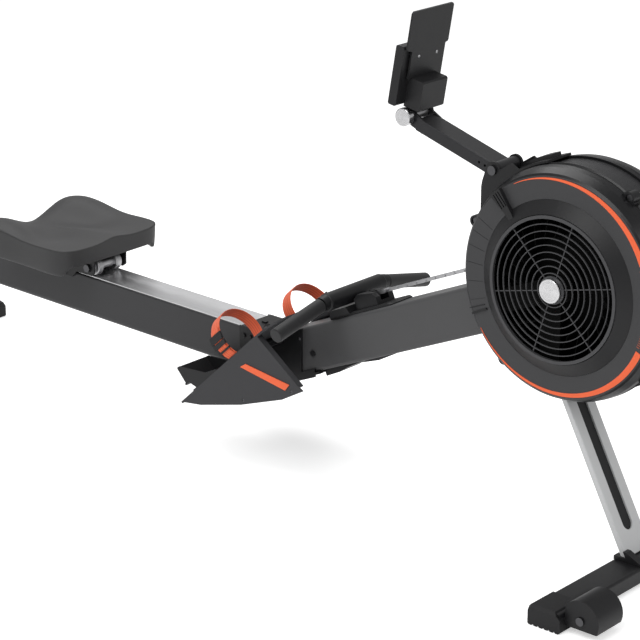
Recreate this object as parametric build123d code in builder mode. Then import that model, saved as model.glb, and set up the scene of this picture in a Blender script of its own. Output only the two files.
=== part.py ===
from build123d import *
from math import atan2, cos, degrees, hypot, radians, sin, tan
import os

# Rowing machine: X points forward to the flywheel, Y across, Z up, floor at Z = 0.
# The origin is on the floor, in the middle of the machine's length and width.
# "right" is the side at -Y, "left" the side at +Y, seen by a rower who faces the flywheel.

# ---- driving dimensions, in mm ----
flywheel_x = 806.5          # flywheel axis, from the middle of the machine
flywheel_z = 540.0
beam_slope = 23.3           # the beam rises forward to the flywheel, degrees
beam_width = 88.0
beam_height = 92.0
beam_top = 38.3             # top of the beam above the flywheel axis, square to the beam
beam_wall = 3.0
rail_slope = 1.2            # the rail rises rearward, degrees
rail_width = 84.0
rail_height = 92.0
rail_wall = 2.5
rail_length = 1132.0
joint_x = flywheel_x - 725  # where the tops of beam and rail meet
joint_z = 269.5
foot_slope = 42.7           # footboards, degrees from level
foot_x = flywheel_x - 873   # heel corner of the footboards
foot_z = 121.0
board_inner = 55.0          # the footboards lie between these distances from the middle plane
board_outer = 150.0
fan_radius = 178.0
shell_radius = 218.0
grille_radius = 137.0
sprocket_teeth = 30
chain_pitch = 12.7
chain_offset = 66.3         # chain centre line above the flywheel axis, square to the beam
handle_u = 555.4            # handle bar along the beam from the flywheel axis
handle_w = 78.0             # and square to the beam
handle_half = 227.0
bend_half = 90.0
seat_x = flywheel_x - 1342  # middle of the seat at rest
seat_length = 285.0
seat_width = 300.0
foot_front_x = flywheel_x + 120
foot_height = 36.0
front_foot_half = 299.0
rear_foot_half = 200.0
rear_foot_x = flywheel_x - 1868
leg_slope = 28.0            # front leg, degrees from plumb
leg_width = 76.0
leg_depth = 12.0
gap = 0.3                   # between parts that pass each other
fit = 0.05                  # radial clearance of a shaft in its hole
fork_reach = 188.0          # inner face of the fork's cross plates, from the flywheel axis

os.makedirs("parts", exist_ok=True)

side_plane = Plane.XZ       # sketches of side views; its normal is -Y

cos_b = cos(radians(beam_slope))
sin_b = sin(radians(beam_slope))
beam_plane = Plane(origin=(flywheel_x, 0, flywheel_z), x_dir=(-cos_b, 0, -sin_b), z_dir=(0, 1, 0))
cos_r = cos(radians(rail_slope))
sin_r = sin(radians(rail_slope))
rail_plane = Plane(origin=(joint_x, 0, joint_z), x_dir=(-cos_r, 0, sin_r), z_dir=(0, 1, 0))
cos_f = cos(radians(foot_slope))
sin_f = sin(radians(foot_slope))
board_plane = Plane(origin=(foot_x, 0, foot_z), x_dir=(cos_f, 0, sin_f), z_dir=(-sin_f, 0, cos_f))
flywheel_plane = Plane(origin=(flywheel_x, 0, flywheel_z), x_dir=(1, 0, 0), z_dir=(0, -1, 0))


def save(piece, label):
    piece.part.label = label
    export_step(piece.part, f"parts/{label}.step")


def beam_point(u, w, y=0):
    """Point at u rearward along the beam and w square to it, from the flywheel axis."""
    return (flywheel_x - u * cos_b - w * sin_b, y, flywheel_z - u * sin_b + w * cos_b)


def rail_point(u, w, y=0):
    """Point at u rearward along the rail and w above its top."""
    return (joint_x - u * cos_r + w * sin_r, y, joint_z + u * sin_r + w * cos_r)


def board_point(s, t, y=0):
    """Point at s up the footboard from the heel and t above its face."""
    return (foot_x + s * cos_f - t * sin_f, y, foot_z + s * sin_f + t * cos_f)


def side_sketch_plane(y):
    """Side view plane at Y = y, seen from the right, with the flywheel axis as its origin."""
    return Plane(origin=(flywheel_x, y, flywheel_z), x_dir=(1, 0, 0), z_dir=(0, -1, 0))


# ---- main beam ----
beam_end = 772.8            # distance along the beam of its mitred end
beam_start = fork_reach + 6
mitre = (beam_slope + rail_slope) / 2
beam_middle = beam_top - beam_height / 2
beam_section = Plane(origin=beam_point(beam_start, beam_middle), x_dir=(0, 1, 0),
                     z_dir=(-cos_b, 0, -sin_b))
mitre_plane = Plane(origin=beam_point(beam_end - 1.2, beam_top), x_dir=(0, 1, 0),
                    z_dir=(-cos(radians(beam_slope - mitre)), 0, -sin(radians(beam_slope - mitre))))
with BuildPart() as main_beam:
    with BuildSketch(beam_section):
        RectangleRounded(beam_width, beam_height, 7)
        RectangleRounded(beam_width - 2 * beam_wall, beam_height - 2 * beam_wall, 4, mode=Mode.SUBTRACT)
    extrude(amount=beam_end - beam_start + 40)
    split(bisect_by=mitre_plane, keep=Keep.BOTTOM)
save(main_beam, "main_beam")

# ---- frame fork: carries the axle and joins beam and front leg inside the housing ----
fork_inner = 69.5
fork_outer = 73.5
fork_half = 22.0
with BuildPart() as frame_fork:
    for side in (-1, 1):
        with BuildSketch(side_sketch_plane(side * (fork_inner + fork_outer) / 2)):
            Circle(30)
            with Locations(Location((0, 0, 0), (0, 0, 180 + beam_slope))):
                with Locations((fork_reach / 2 + 3, 0)):
                    Rectangle(fork_reach + 6, 2 * fork_half)
            with Locations((-15, -fork_reach / 2 - 1)):
                Rectangle(2 * fork_half, fork_reach + 2)
            Circle(10 + fit, mode=Mode.SUBTRACT)
        extrude(amount=(fork_outer - fork_inner) / 2, both=True)
    with BuildSketch(beam_plane):
        with Locations((fork_reach + 3, 0)):
            Rectangle(6, 2 * fork_half)
    extrude(amount=fork_outer, both=True)
    with BuildSketch(side_sketch_plane(0)):
        with Locations((-15, -fork_reach - 3)):
            Rectangle(2 * fork_half, 6)
    extrude(amount=fork_outer, both=True)
    with BuildSketch(beam_plane):
        with Locations((fork_reach + 3, -8)):
            Rectangle(8, 36)
    extrude(amount=12, both=True, mode=Mode.SUBTRACT)
save(frame_fork, "frame_fork")

# ---- front leg: flat profile with a sunk groove, leaning forward to the front foot ----
leg_top_z = flywheel_z - fork_reach - 6
leg_bottom_z = foot_height + 8
leg_face_x = flywheel_x + 2.6
leg_tan = tan(radians(leg_slope))
leg_cos = cos(radians(leg_slope))


def leg_x(z):
    """X of the leg's front face at height z."""
    return leg_face_x + (316 - z) * leg_tan


leg_length = (leg_top_z - leg_bottom_z) / leg_cos
leg_face = Plane(origin=(leg_x(leg_bottom_z), 0, leg_bottom_z), x_dir=(0, 1, 0),
                 z_dir=(leg_cos, 0, sin(radians(leg_slope))))
groove_length = leg_length - 44
with BuildPart() as front_leg:
    with BuildSketch(side_plane):
        Polygon((leg_x(leg_top_z), leg_top_z), (leg_x(leg_bottom_z), leg_bottom_z),
                (leg_x(leg_bottom_z) - leg_depth / leg_cos, leg_bottom_z),
                (leg_x(leg_top_z) - leg_depth / leg_cos, leg_top_z), align=None)
    extrude(amount=leg_width / 2, both=True)
    fillet(front_leg.edges().filter_by(lambda e: abs(e.length - leg_length) < 0.5), 2)
    with BuildSketch(leg_face.offset(-6)):
        with Locations((0, leg_length - groove_length / 2 + 0)):
            SlotOverall(groove_length, 28, rotation=90)
        with Locations((0, leg_length - 20)):
            Rectangle(28, 60)
    extrude(amount=20, mode=Mode.SUBTRACT)
save(front_leg, "front_leg")

with BuildPart() as leg_inlay:
    with BuildSketch(leg_face.offset(-6)):
        with Locations((0, leg_length - groove_length / 2)):
            SlotOverall(groove_length - 0.4, 27.6, rotation=90)
    extrude(amount=2.5)
    with BuildSketch(Plane.XY.offset(leg_top_z - 0.2)):
        Rectangle(4000, 200)
    extrude(amount=200, mode=Mode.SUBTRACT)
save(leg_inlay, "leg_inlay")

# ---- bracket between leg and front foot ----
bracket_plate = 5.0
cheek_top = 56.0
with BuildPart() as leg_bracket:
    with BuildSketch(side_plane):
        with BuildLine():
            Polyline((leg_x(foot_height) - 30, foot_height), (foot_front_x + 60, foot_height),
                     (foot_front_x + 60, foot_height + bracket_plate),
                     (leg_x(cheek_top) + 7, cheek_top), (leg_x(cheek_top) + 0.1, cheek_top),
                     (leg_x(leg_bottom_z) + 0.1, leg_bottom_z - 0.1),
                     (leg_x(foot_height) - 30, leg_bottom_z - 0.1), close=True)
        make_face()
    extrude(amount=leg_width / 2 + 4, both=True)
    with BuildSketch(side_plane):
        with BuildLine():
            Polyline((leg_x(foot_height) - 30, foot_height - 1), (foot_front_x + 90, foot_height - 1),
                     (leg_x(110) + 30, 110), (leg_x(110) - 30, 110), close=True)
        make_face()
    extrude(amount=26, both=True, mode=Mode.SUBTRACT)
    with BuildSketch(side_plane):
        with BuildLine():
            Polyline((leg_x(foot_height) - 28, foot_height), (foot_front_x + 60, foot_height),
                     (foot_front_x + 60, foot_height + bracket_plate),
                     (leg_x(foot_height) - 28, foot_height + bracket_plate), close=True)
        make_face()
    extrude(amount=26, both=True)
save(leg_bracket, "leg_bracket")

# ---- front foot tube and its end caps ----
foot_depth = 64.0
foot_tube_bottom = 5.0


def foot_tube(x, half, label):
    with BuildPart() as tube:
        with BuildSketch(Plane.XZ):
            with Locations((x + foot_depth / 2, (foot_height + foot_tube_bottom) / 2)):
                RectangleRounded(foot_depth, foot_height - foot_tube_bottom, 5)
                RectangleRounded(foot_depth - 5, foot_height - foot_tube_bottom - 5, 3, mode=Mode.SUBTRACT)
        extrude(amount=half - 4, both=True)
    save(tube, label)


cap_length = 70.0
cap_height = 38.5
tooth_count = 6


def foot_caps(x, half, label):
    """End caps with a chamfered outer end and a toothed sole, one at each end of a foot tube."""
    low = x - 2.5
    high = x + foot_depth + 2.5
    with BuildPart() as caps:
        for side in (-1, 1):
            with BuildSketch(Plane.XZ.offset(-side * (half - cap_length))):
                with BuildLine():
                    Polyline((low, 6), (low, cap_height - 4), (low + 4, cap_height), (high - 14, cap_height),
                             (high, cap_height - 12), (high, 6))
                    pitch = (high - low) / tooth_count
                    sole = [(high, 6), (high, 3)]
                    for k in range(tooth_count):
                        right = high - k * pitch
                        sole += [(right - pitch * 0.25, 0), (right - pitch * 0.75, 0), (right - pitch, 3)]
                    sole += [(low, 6)]
                    Polyline(*sole)
                make_face()
            extrude(amount=-side * cap_length)
        outer = caps.faces().filter_by(Axis.Y)
        outer_edges = ShapeList()
        for face in (outer.sort_by(Axis.Y)[0], outer.sort_by(Axis.Y)[-1]):
            outer_edges += face.edges().filter_by(lambda e: e.center().Z > cap_height - 3)
        chamfer(outer_edges, 5)
        with BuildSketch(Plane.XZ):
            with Locations((x + foot_depth / 2, (foot_height + foot_tube_bottom) / 2)):
                RectangleRounded(foot_depth + 0.2, foot_height - foot_tube_bottom + 0.2, 5.1)
        extrude(amount=half - 4, both=True, mode=Mode.SUBTRACT)
    save(caps, label)


foot_tube(foot_front_x, front_foot_half, "front_foot")
foot_caps(foot_front_x, front_foot_half, "front_foot_caps")

# ---- fenders and transport wheels in front of the front foot ----
wheel_x = flywheel_x + 219
wheel_z = 31.0
wheel_radius = 28.0
wheel_middle = 246.0        # distance of each wheel from the middle plane
wheel_width = 30.0
fender_radius = 38.5
fender_half = 37.0
fender_back = foot_front_x + foot_depth + 2.6
with BuildPart() as wheel_fenders:
    for side in (-1, 1):
        with BuildSketch(Plane.XZ.offset(-side * wheel_middle)):
            with Locations((wheel_x, wheel_z)):
                Circle(fender_radius)
            with Locations((fender_back, 14)):
                Rectangle(wheel_x - fender_back, 46, align=(Align.MIN, Align.MIN))
            with Locations((fender_back - 50, 0)):
                Rectangle(50, 80, align=(Align.MIN, Align.MIN), mode=Mode.SUBTRACT)
            with Locations((fender_back, -20)):
                Rectangle(100, 34, align=(Align.MIN, Align.MIN), mode=Mode.SUBTRACT)
        extrude(amount=fender_half, both=True)
        with BuildSketch(Plane.XZ.offset(-side * wheel_middle)):
            with Locations((wheel_x, wheel_z)):
                Circle(fender_radius - 4)
            with Locations((fender_back + 4, -10)):
                Rectangle(wheel_x - fender_back + 30, wheel_z + 10, align=(Align.MIN, Align.MIN))
        extrude(amount=fender_half - 4, both=True, mode=Mode.SUBTRACT)
        with BuildSketch(Plane.XZ.offset(-side * wheel_middle)):
            with Locations((wheel_x, wheel_z)):
                Circle(4 + fit)
        extrude(amount=fender_half + 1, both=True, mode=Mode.SUBTRACT)
save(wheel_fenders, "wheel_fenders")

for side, label in ((-1, "transport_wheel_right"), (1, "transport_wheel_left")):
    with BuildPart() as wheel:
        with BuildSketch(Plane.XZ.offset(-side * wheel_middle)):
            with Locations((wheel_x, wheel_z)):
                Circle(wheel_radius)
                Circle(4 + 2 * fit, mode=Mode.SUBTRACT)
        extrude(amount=wheel_width / 2, both=True)
        rims = wheel.edges().filter_by(GeomType.CIRCLE).filter_by(lambda e: e.radius > 20)
        fillet(rims, 4)
        for face_side in (-1, 1):
            with BuildSketch(Plane.XZ.offset(-side * wheel_middle + face_side * wheel_width / 2)):
                with Locations((wheel_x, wheel_z)):
                    Circle(20)
                    Circle(9, mode=Mode.SUBTRACT)
            extrude(amount=-face_side * 6, mode=Mode.SUBTRACT)
    save(wheel, label)

# ---- housing shells: two halves that close round the fan ----
lip_y = 28.0
face_y = 78.0
ring_radius = 163.0
outer_profile = [(shell_radius - 3.3, lip_y), (shell_radius + 1, lip_y), (shell_radius + 1.5, 32.5),
                 (shell_radius - 1.5, 35), (shell_radius - 1, 41), (shell_radius + 0.5, 44),
                 (shell_radius - 1.5, 56), (shell_radius - 6, 67), (shell_radius - 9, 74),
                 (shell_radius - 14, face_y)]
inner_profile = [(shell_radius - 14.5, face_y - 3), (shell_radius - 11.5, 72), (shell_radius - 9, 64.5),
                 (shell_radius - 4.5, 54.5), (shell_radius - 3.3, 44)]
boss_angles = [56, 14, -38, 232, 160]
boss_radius = 223.0


def spin_profile(points, side):
    """Turn a profile of (radius, distance from the middle plane) round the flywheel axis."""
    plane = Plane(origin=(flywheel_x, 0, flywheel_z), x_dir=(0, 0, 1), z_dir=(-side, 0, 0))
    with BuildSketch(plane) as sketch:
        Polygon(*[(radius, away) for radius, away in points], align=None)
    revolve(sketch.sketch, axis=Axis((flywheel_x, 0, flywheel_z), (0, 1, 0)), revolution_arc=360)


for side, label in ((-1, "shell_right"), (1, "shell_left")):
    if side < 0:
        inlet = [(ring_radius, face_y), (ring_radius, face_y - 3)]
    else:
        inlet = [(ring_radius, face_y), (grille_radius + 1, 93), (grille_radius + 1, 90),
                 (ring_radius - 2, face_y - 3)]
    with BuildPart() as shell:
        spin_profile(outer_profile + inlet + inner_profile, side)
        for angle in boss_angles:
            bx = flywheel_x + boss_radius * cos(radians(angle))
            bz = flywheel_z + boss_radius * sin(radians(angle))
            with BuildSketch(Plane.XZ.offset(-side * lip_y)):
                with Locations((bx, bz)):
                    Circle(11)
                with Locations(Location((flywheel_x, flywheel_z, 0), (0, 0, angle))):
                    with Locations((shell_radius, 0)):
                        Rectangle(9, 30)
            extrude(amount=-side * 20)
            with BuildSketch(Plane.XZ.offset(-side * (lip_y - 1))):
                with Locations((bx, bz)):
                    Circle(3.2)
            extrude(amount=-side * 30, mode=Mode.SUBTRACT)
            with BuildSketch(Plane.XZ.offset(-side * (lip_y + 15))):
                with Locations((bx, bz)):
                    Circle(7)
            extrude(amount=-side * 20, mode=Mode.SUBTRACT)
        with BuildSketch(side_sketch_plane(side * (lip_y - 1))):
            Circle(shell_radius - 3.3)
        extrude(amount=-side * 21, mode=Mode.SUBTRACT)
        with BuildSketch(beam_plane):
            with Locations((beam_start + 50, beam_middle)):
                Rectangle(130, beam_height + 1.2)
        extrude(amount=beam_width / 2 + 0.5, both=True, mode=Mode.SUBTRACT)
        with BuildSketch(side_sketch_plane(0)):
            with Locations((-12, -222)):
                Rectangle(44, 70)
        extrude(amount=leg_width / 2 + 0.6, both=True, mode=Mode.SUBTRACT)
    save(shell, label)

with BuildPart() as screen_band:
    with BuildSketch(flywheel_plane):
        Circle(shell_radius - 3.6)
        Circle(shell_radius - 6, mode=Mode.SUBTRACT)
    extrude(amount=lip_y + 6, both=True)
    with BuildSketch(beam_plane):
        with Locations((beam_start + 50, beam_middle)):
            Rectangle(130, beam_height + 1.6)
    extrude(amount=60, both=True, mode=Mode.SUBTRACT)
    with BuildSketch(beam_plane):
        with Locations((beam_start + 50, chain_offset)):
            Rectangle(130, 26)
    extrude(amount=8, both=True, mode=Mode.SUBTRACT)
    with BuildSketch(side_sketch_plane(0)):
        with Locations((-12, -222)):
            Rectangle(44, 70)
    extrude(amount=60, both=True, mode=Mode.SUBTRACT)
save(screen_band, "screen_band")

# ---- guard grilles: rings on six spokes, with a middle disc ----
ring_pitch = 12.8
first_ring = 31.5
ring_count = 8
wire_half = 0.8
spoke_turn = 13.0
for side, label in ((-1, "grille_right"), (1, "grille_left")):
    with BuildPart() as grille:
        with BuildSketch(side_sketch_plane(side * 90)):
            for k in reversed(range(ring_count)):
                Circle(first_ring + k * ring_pitch + wire_half)
                Circle(first_ring + k * ring_pitch - wire_half, mode=Mode.SUBTRACT)
            Circle(26)
        extrude(amount=-side * 3)
        with BuildSketch(side_sketch_plane(side * 89)):
            Circle(grille_radius)
            Circle(grille_radius - 6, mode=Mode.SUBTRACT)
        extrude(amount=-side * 6)
        with BuildSketch(side_sketch_plane(side * 89)):
            with PolarLocations(0, 6, start_angle=spoke_turn):
                with Locations((grille_radius / 2, 0)):
                    Rectangle(grille_radius - 4, 2 * wire_half)
        extrude(amount=-side * 2.5)
    save(grille, label)

with BuildPart() as hub_caps:
    for side in (-1, 1):
        with BuildSketch(side_sketch_plane(side * 93)):
            Circle(22.5)
        extrude(amount=-side * 8.5)
    fillet(hub_caps.edges().filter_by(lambda e: abs(e.center().Y) > 100), 1.5)
save(hub_caps, "hub_caps")

# ---- damper ring with its lever: turns on the right grille's rim over a scale on the shell ----
lever_angle = 132.0
with BuildPart() as damper_ring:
    spin_profile([(ring_radius - 0.4, face_y), (grille_radius + 1.2, 93), (grille_radius + 1.2, 90),
                  (ring_radius - 3.5, face_y - 3), (ring_radius - 0.4, face_y - 3)], -1)
    with BuildSketch(side_sketch_plane(-(face_y + 0.4))):
        with Locations(Location((0, 0, 0), (0, 0, lever_angle))):
            Polygon((148, -7), (165, -9), (206, -14), (208, 12), (165, 5), (148, 4), align=None)
    extrude(amount=9)
    with BuildSketch(side_sketch_plane(-(face_y + 5))):
        with Locations(Location((0, 0, 0), (0, 0, lever_angle))):
            for offset_y in (-8, -2, 4):
                with Locations((188, offset_y)):
                    Rectangle(30, 2.2)
    extrude(amount=6, mode=Mode.SUBTRACT)
save(damper_ring, "damper_ring")

# ---- accent arcs on both faces ----
accent_outer = 202.0
accent_thick = 12.3
accent_y = 0.8


def crescent(side, start, end):
    """Arc that grows from nothing at start to its full width at end, both in degrees."""
    steps = 6
    turn = (end - start) / steps
    outer_points = []
    inner_points = []
    for k in range(steps + 1):
        angle = radians(start + k * turn)
        outer_points.append((accent_outer * cos(angle), accent_outer * sin(angle)))
        reach = accent_outer - max(0.8, accent_thick * (k / steps) ** 0.85)
        inner_points.append((reach * cos(angle), reach * sin(angle)))
    with BuildSketch(side_sketch_plane(side * face_y)) as arc:
        with BuildLine():
            Spline(*outer_points)
            Line(outer_points[-1], inner_points[-1])
            Spline(*reversed(inner_points))
            Line(inner_points[0], outer_points[0])
        make_face()
    extrude(arc.sketch, amount=-side * accent_y)


with BuildPart() as accent_arcs:
    for side in (-1, 1):
        crescent(side, 120, 24)
        crescent(side, -146, -24)
save(accent_arcs, "accent_arcs")

# ---- axle, fan, sprocket ----
with BuildPart() as flywheel_axle:
    with BuildSketch(flywheel_plane):
        Circle(10)
    extrude(amount=89, both=True)
    chamfer(flywheel_axle.edges().filter_by(GeomType.CIRCLE), 1)
save(flywheel_axle, "flywheel_axle")

disc_y = 12.0
blade_count = 24
hub_radius = 24.0
bearing_radius = 20.0
fan_half = 66.0
with BuildPart() as fan_wheel:
    with BuildSketch(flywheel_plane):
        Circle(hub_radius)
    extrude(amount=fan_half, both=True)
    for side in (-1, 1):
        with BuildSketch(side_sketch_plane(side * disc_y)):
            Circle(fan_radius)
        extrude(amount=-side * 3)
        with BuildSketch(side_sketch_plane(side * disc_y)):
            with PolarLocations(0, blade_count):
                with Locations(Location((130, 0, 0), (0, 0, 24 * side))):
                    Rectangle(96, 2)
        extrude(amount=-side * (fan_half - disc_y - 2))
        with BuildSketch(side_sketch_plane(side * (fan_half - 5))):
            Circle(fan_radius)
            Circle(fan_radius - 10, mode=Mode.SUBTRACT)
        extrude(amount=-side * 3)
    with BuildSketch(flywheel_plane):
        Circle(fan_radius + 40)
        Circle(fan_radius, mode=Mode.SUBTRACT)
    extrude(amount=fan_half + 5, both=True, mode=Mode.SUBTRACT)
    with BuildSketch(flywheel_plane):
        Circle(12)
    extrude(amount=fan_half, both=True, mode=Mode.SUBTRACT)
    for side in (-1, 1):
        with BuildSketch(side_sketch_plane(side * fan_half)):
            Circle(bearing_radius)
        extrude(amount=side * 14, mode=Mode.SUBTRACT)
save(fan_wheel, "fan_wheel")

with BuildPart() as fan_bearings:
    for side in (-1, 1):
        with BuildSketch(side_sketch_plane(side * fan_half)):
            Circle(bearing_radius - 0.02)
            Circle(10 + fit, mode=Mode.SUBTRACT)
        extrude(amount=side * 14)
save(fan_bearings, "fan_bearings")

pitch_radius = chain_pitch / (2 * sin(radians(180 / sprocket_teeth)))
tooth_tip = 61.6
with BuildPart() as drive_sprocket:
    with BuildSketch(flywheel_plane):
        Circle(tooth_tip)
        with PolarLocations(pitch_radius + 2.2, sprocket_teeth):
            Circle(4.0, mode=Mode.SUBTRACT)
        Circle(hub_radius + fit, mode=Mode.SUBTRACT)
    extrude(amount=2.5, both=True)
    with BuildSketch(flywheel_plane):
        Circle(36)
        Circle(hub_radius + fit, mode=Mode.SUBTRACT)
    extrude(amount=9, both=True)
    with BuildSketch(flywheel_plane):
        with PolarLocations(47, 6):
            Circle(6)
    extrude(amount=10, both=True, mode=Mode.SUBTRACT)
save(drive_sprocket, "drive_sprocket")

# ---- handle cradle on the beam ----
prong_front = 478.0
prong_back = 534.0
slot_half = 12.0
with BuildPart() as handle_cradle:
    with BuildSketch(beam_plane):
        with BuildLine():
            Polyline((440, beam_top), (604, beam_top), (604, beam_top + 6), (446, beam_top + 6),
                     (440, beam_top + 2), close=True)
        make_face()
    extrude(amount=34, both=True)
    with BuildSketch(beam_plane):
        with BuildLine():
            Polyline((prong_front, beam_top + 5), (prong_back, beam_top + 5), (prong_back + 2, 66),
                     (prong_back - 10, 74), (prong_front + 8, 70), (prong_front, 60), close=True)
        make_face()
    extrude(amount=26, both=True)
    with BuildSketch(beam_plane):
        with Locations((prong_front - 10, 51)):
            Rectangle(120, 60, align=(Align.MIN, Align.MIN))
    extrude(amount=slot_half, both=True, mode=Mode.SUBTRACT)
    with BuildSketch(beam_plane):
        with BuildLine():
            Polyline((542, beam_top + 5), (598, beam_top + 5), (590, 57), (548, 57), close=True)
        make_face()
    extrude(amount=42, both=True)
    with BuildSketch(beam_plane):
        with Locations((handle_u, handle_w)):
            Circle(18.6)
    extrude(amount=60, both=True, mode=Mode.SUBTRACT)
save(handle_cradle, "handle_cradle")

# ---- handle: moulded middle, drooping ends with grips, and the chain's shackle ----
middle_radius = 18.0
tube_radius = 11.0
grip_radius = 14.5
droop_u = 567.7
droop_w = 50.7


def handle_axis(side, along):
    """Plane square to the drooping end, at a distance along it from the bend."""
    start = Vector(*beam_point(handle_u, handle_w, side * bend_half))
    end = Vector(*beam_point(droop_u, droop_w, side * handle_half))
    direction = (end - start).normalized()
    return Plane(origin=start + direction * along, z_dir=direction)


end_length = (Vector(*beam_point(droop_u, droop_w, handle_half))
              - Vector(*beam_point(handle_u, handle_w, bend_half))).length
with BuildPart() as handle_bar:
    with BuildSketch(beam_plane):
        with Locations((handle_u, handle_w)):
            Circle(middle_radius)
    extrude(amount=bend_half - 6, both=True)
    fillet(handle_bar.edges().filter_by(GeomType.CIRCLE), 4)
    for side in (-1, 1):
        with BuildSketch(handle_axis(side, -14)):
            Circle(tube_radius + 4)
        extrude(amount=20)
        with BuildSketch(handle_axis(side, -14)):
            Circle(tube_radius)
        extrude(amount=end_length + 10)
    with BuildSketch(beam_plane):
        with BuildLine():
            Polyline((handle_u, handle_w + 10), (540, 73), (488, 72), (484, 69), (484, 63), (488, 60),
                     (545, 60), (handle_u, 66), close=True)
        make_face()
    extrude(amount=7, both=True)
    with BuildSketch(beam_plane):
        with Locations((490, chain_offset)):
            Circle(3 + fit)
    extrude(amount=10, both=True, mode=Mode.SUBTRACT)
save(handle_bar, "handle_bar")

with BuildPart() as handle_grips:
    for side in (-1, 1):
        with BuildSketch(handle_axis(side, 8)):
            Circle(grip_radius)
        extrude(amount=end_length - 8)
        with BuildSketch(handle_axis(side, 8)):
            Circle(tube_radius + fit)
        extrude(amount=end_length - 12 + 0.1, mode=Mode.SUBTRACT)
    tips = handle_grips.edges().filter_by(GeomType.CIRCLE).filter_by(lambda e: e.radius > 14)
    fillet(tips, 2.5)
save(handle_grips, "handle_grips")

chain_height = 6.0
chain_half = 3.5
chain_start = 464.0
with BuildPart() as chain_shackle:
    with BuildSketch(beam_plane):
        with Locations((480, chain_offset)):
            RectangleRounded(32, 8, 3.5)
    extrude(amount=9.6, both=True)
    with BuildSketch(beam_plane):
        with Locations((488, chain_offset)):
            Rectangle(30, 20)
    extrude(amount=7.1, both=True, mode=Mode.SUBTRACT)
    with BuildSketch(beam_plane):
        with Locations((490, chain_offset)):
            Circle(3)
    extrude(amount=9, both=True)
save(chain_shackle, "chain_shackle")

# ---- recoil: the chain goes over the sprocket, into the beam, round a sliding pulley to its anchor ----
inner_slope = 6.5           # the lower run climbs into the beam, degrees
pulley_u = 700.0
pulley_radius = 18.0        # to the chain's middle
cos_i = cos(radians(inner_slope))
sin_i = sin(radians(inner_slope))
pulley_w = (pulley_u * sin_i - chain_offset) / cos_i - pulley_radius / cos_i
anchor_u = 236.0
anchor_w = -47.0
run_start = (chain_offset * sin_i, -chain_offset * cos_i)
run_end = (pulley_u - pulley_radius * sin_i, pulley_w + pulley_radius * cos_i)
anchor_distance = hypot(anchor_u - pulley_u, anchor_w - pulley_w)
anchor_angle = atan2(anchor_w - pulley_w, anchor_u - pulley_u)
leave_angle = anchor_angle + (radians(90) - atan2(pulley_radius, anchor_distance))
leave_point = (pulley_u + pulley_radius * cos(leave_angle), pulley_w + pulley_radius * sin(leave_angle))
with BuildPart() as drive_chain:
    with BuildLine(beam_plane) as chain_path:
        Line((chain_start, chain_offset), (0, chain_offset))
        ThreePointArc((0, chain_offset), (-chain_offset * cos(radians(inner_slope / 2)),
                      chain_offset * sin(radians(inner_slope / 2))), run_start)
        Line(run_start, run_end)
        ThreePointArc(run_end, (pulley_u + pulley_radius, pulley_w), leave_point)
        Line(leave_point, (anchor_u, anchor_w))
    with BuildSketch(Plane(origin=beam_point(chain_start, chain_offset), x_dir=(0, 1, 0),
                           z_dir=(cos_b, 0, sin_b))):
        Rectangle(2 * chain_half, chain_height)
    sweep(path=chain_path.line)
save(drive_chain, "drive_chain")

with BuildPart() as return_block:
    with BuildSketch(beam_plane):
        with Locations((pulley_u + 8, pulley_w)):
            RectangleRounded(44, 20, 6)
    extrude(amount=11, both=True)
    with BuildSketch(beam_plane):
        with Locations((pulley_u, pulley_w)):
            Circle(22)
    extrude(amount=7, both=True, mode=Mode.SUBTRACT)
    with BuildSketch(beam_plane):
        with Locations((pulley_u, pulley_w)):
            Circle(3)
    extrude(amount=9, both=True)
save(return_block, "return_block")

with BuildPart() as return_pulley:
    with BuildSketch(beam_plane):
        with Locations((pulley_u, pulley_w)):
            Circle(pulley_radius - chain_height / 2 - 0.3)
            Circle(3 + fit, mode=Mode.SUBTRACT)
    extrude(amount=6, both=True)
save(return_pulley, "return_pulley")

bungee_radius = 5.0
bungee_start = pulley_u + 30.2
bungee_turn_u = 746.0
bungee_top = 25.0
bungee_bend = (bungee_top - pulley_w) / 2
with BuildPart() as bungee_cord:
    with BuildLine(beam_plane) as bungee_path:
        Line((bungee_start, pulley_w), (bungee_turn_u, pulley_w))
        ThreePointArc((bungee_turn_u, pulley_w), (bungee_turn_u + bungee_bend, pulley_w + bungee_bend),
                      (bungee_turn_u, bungee_top))
        Line((bungee_turn_u, bungee_top), (anchor_u + 6, bungee_top))
    with BuildSketch(Plane(origin=beam_point(bungee_start, pulley_w), z_dir=(-cos_b, 0, -sin_b))):
        Circle(bungee_radius)
    sweep(path=bungee_path.line)
save(bungee_cord, "bungee_cord")

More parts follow.
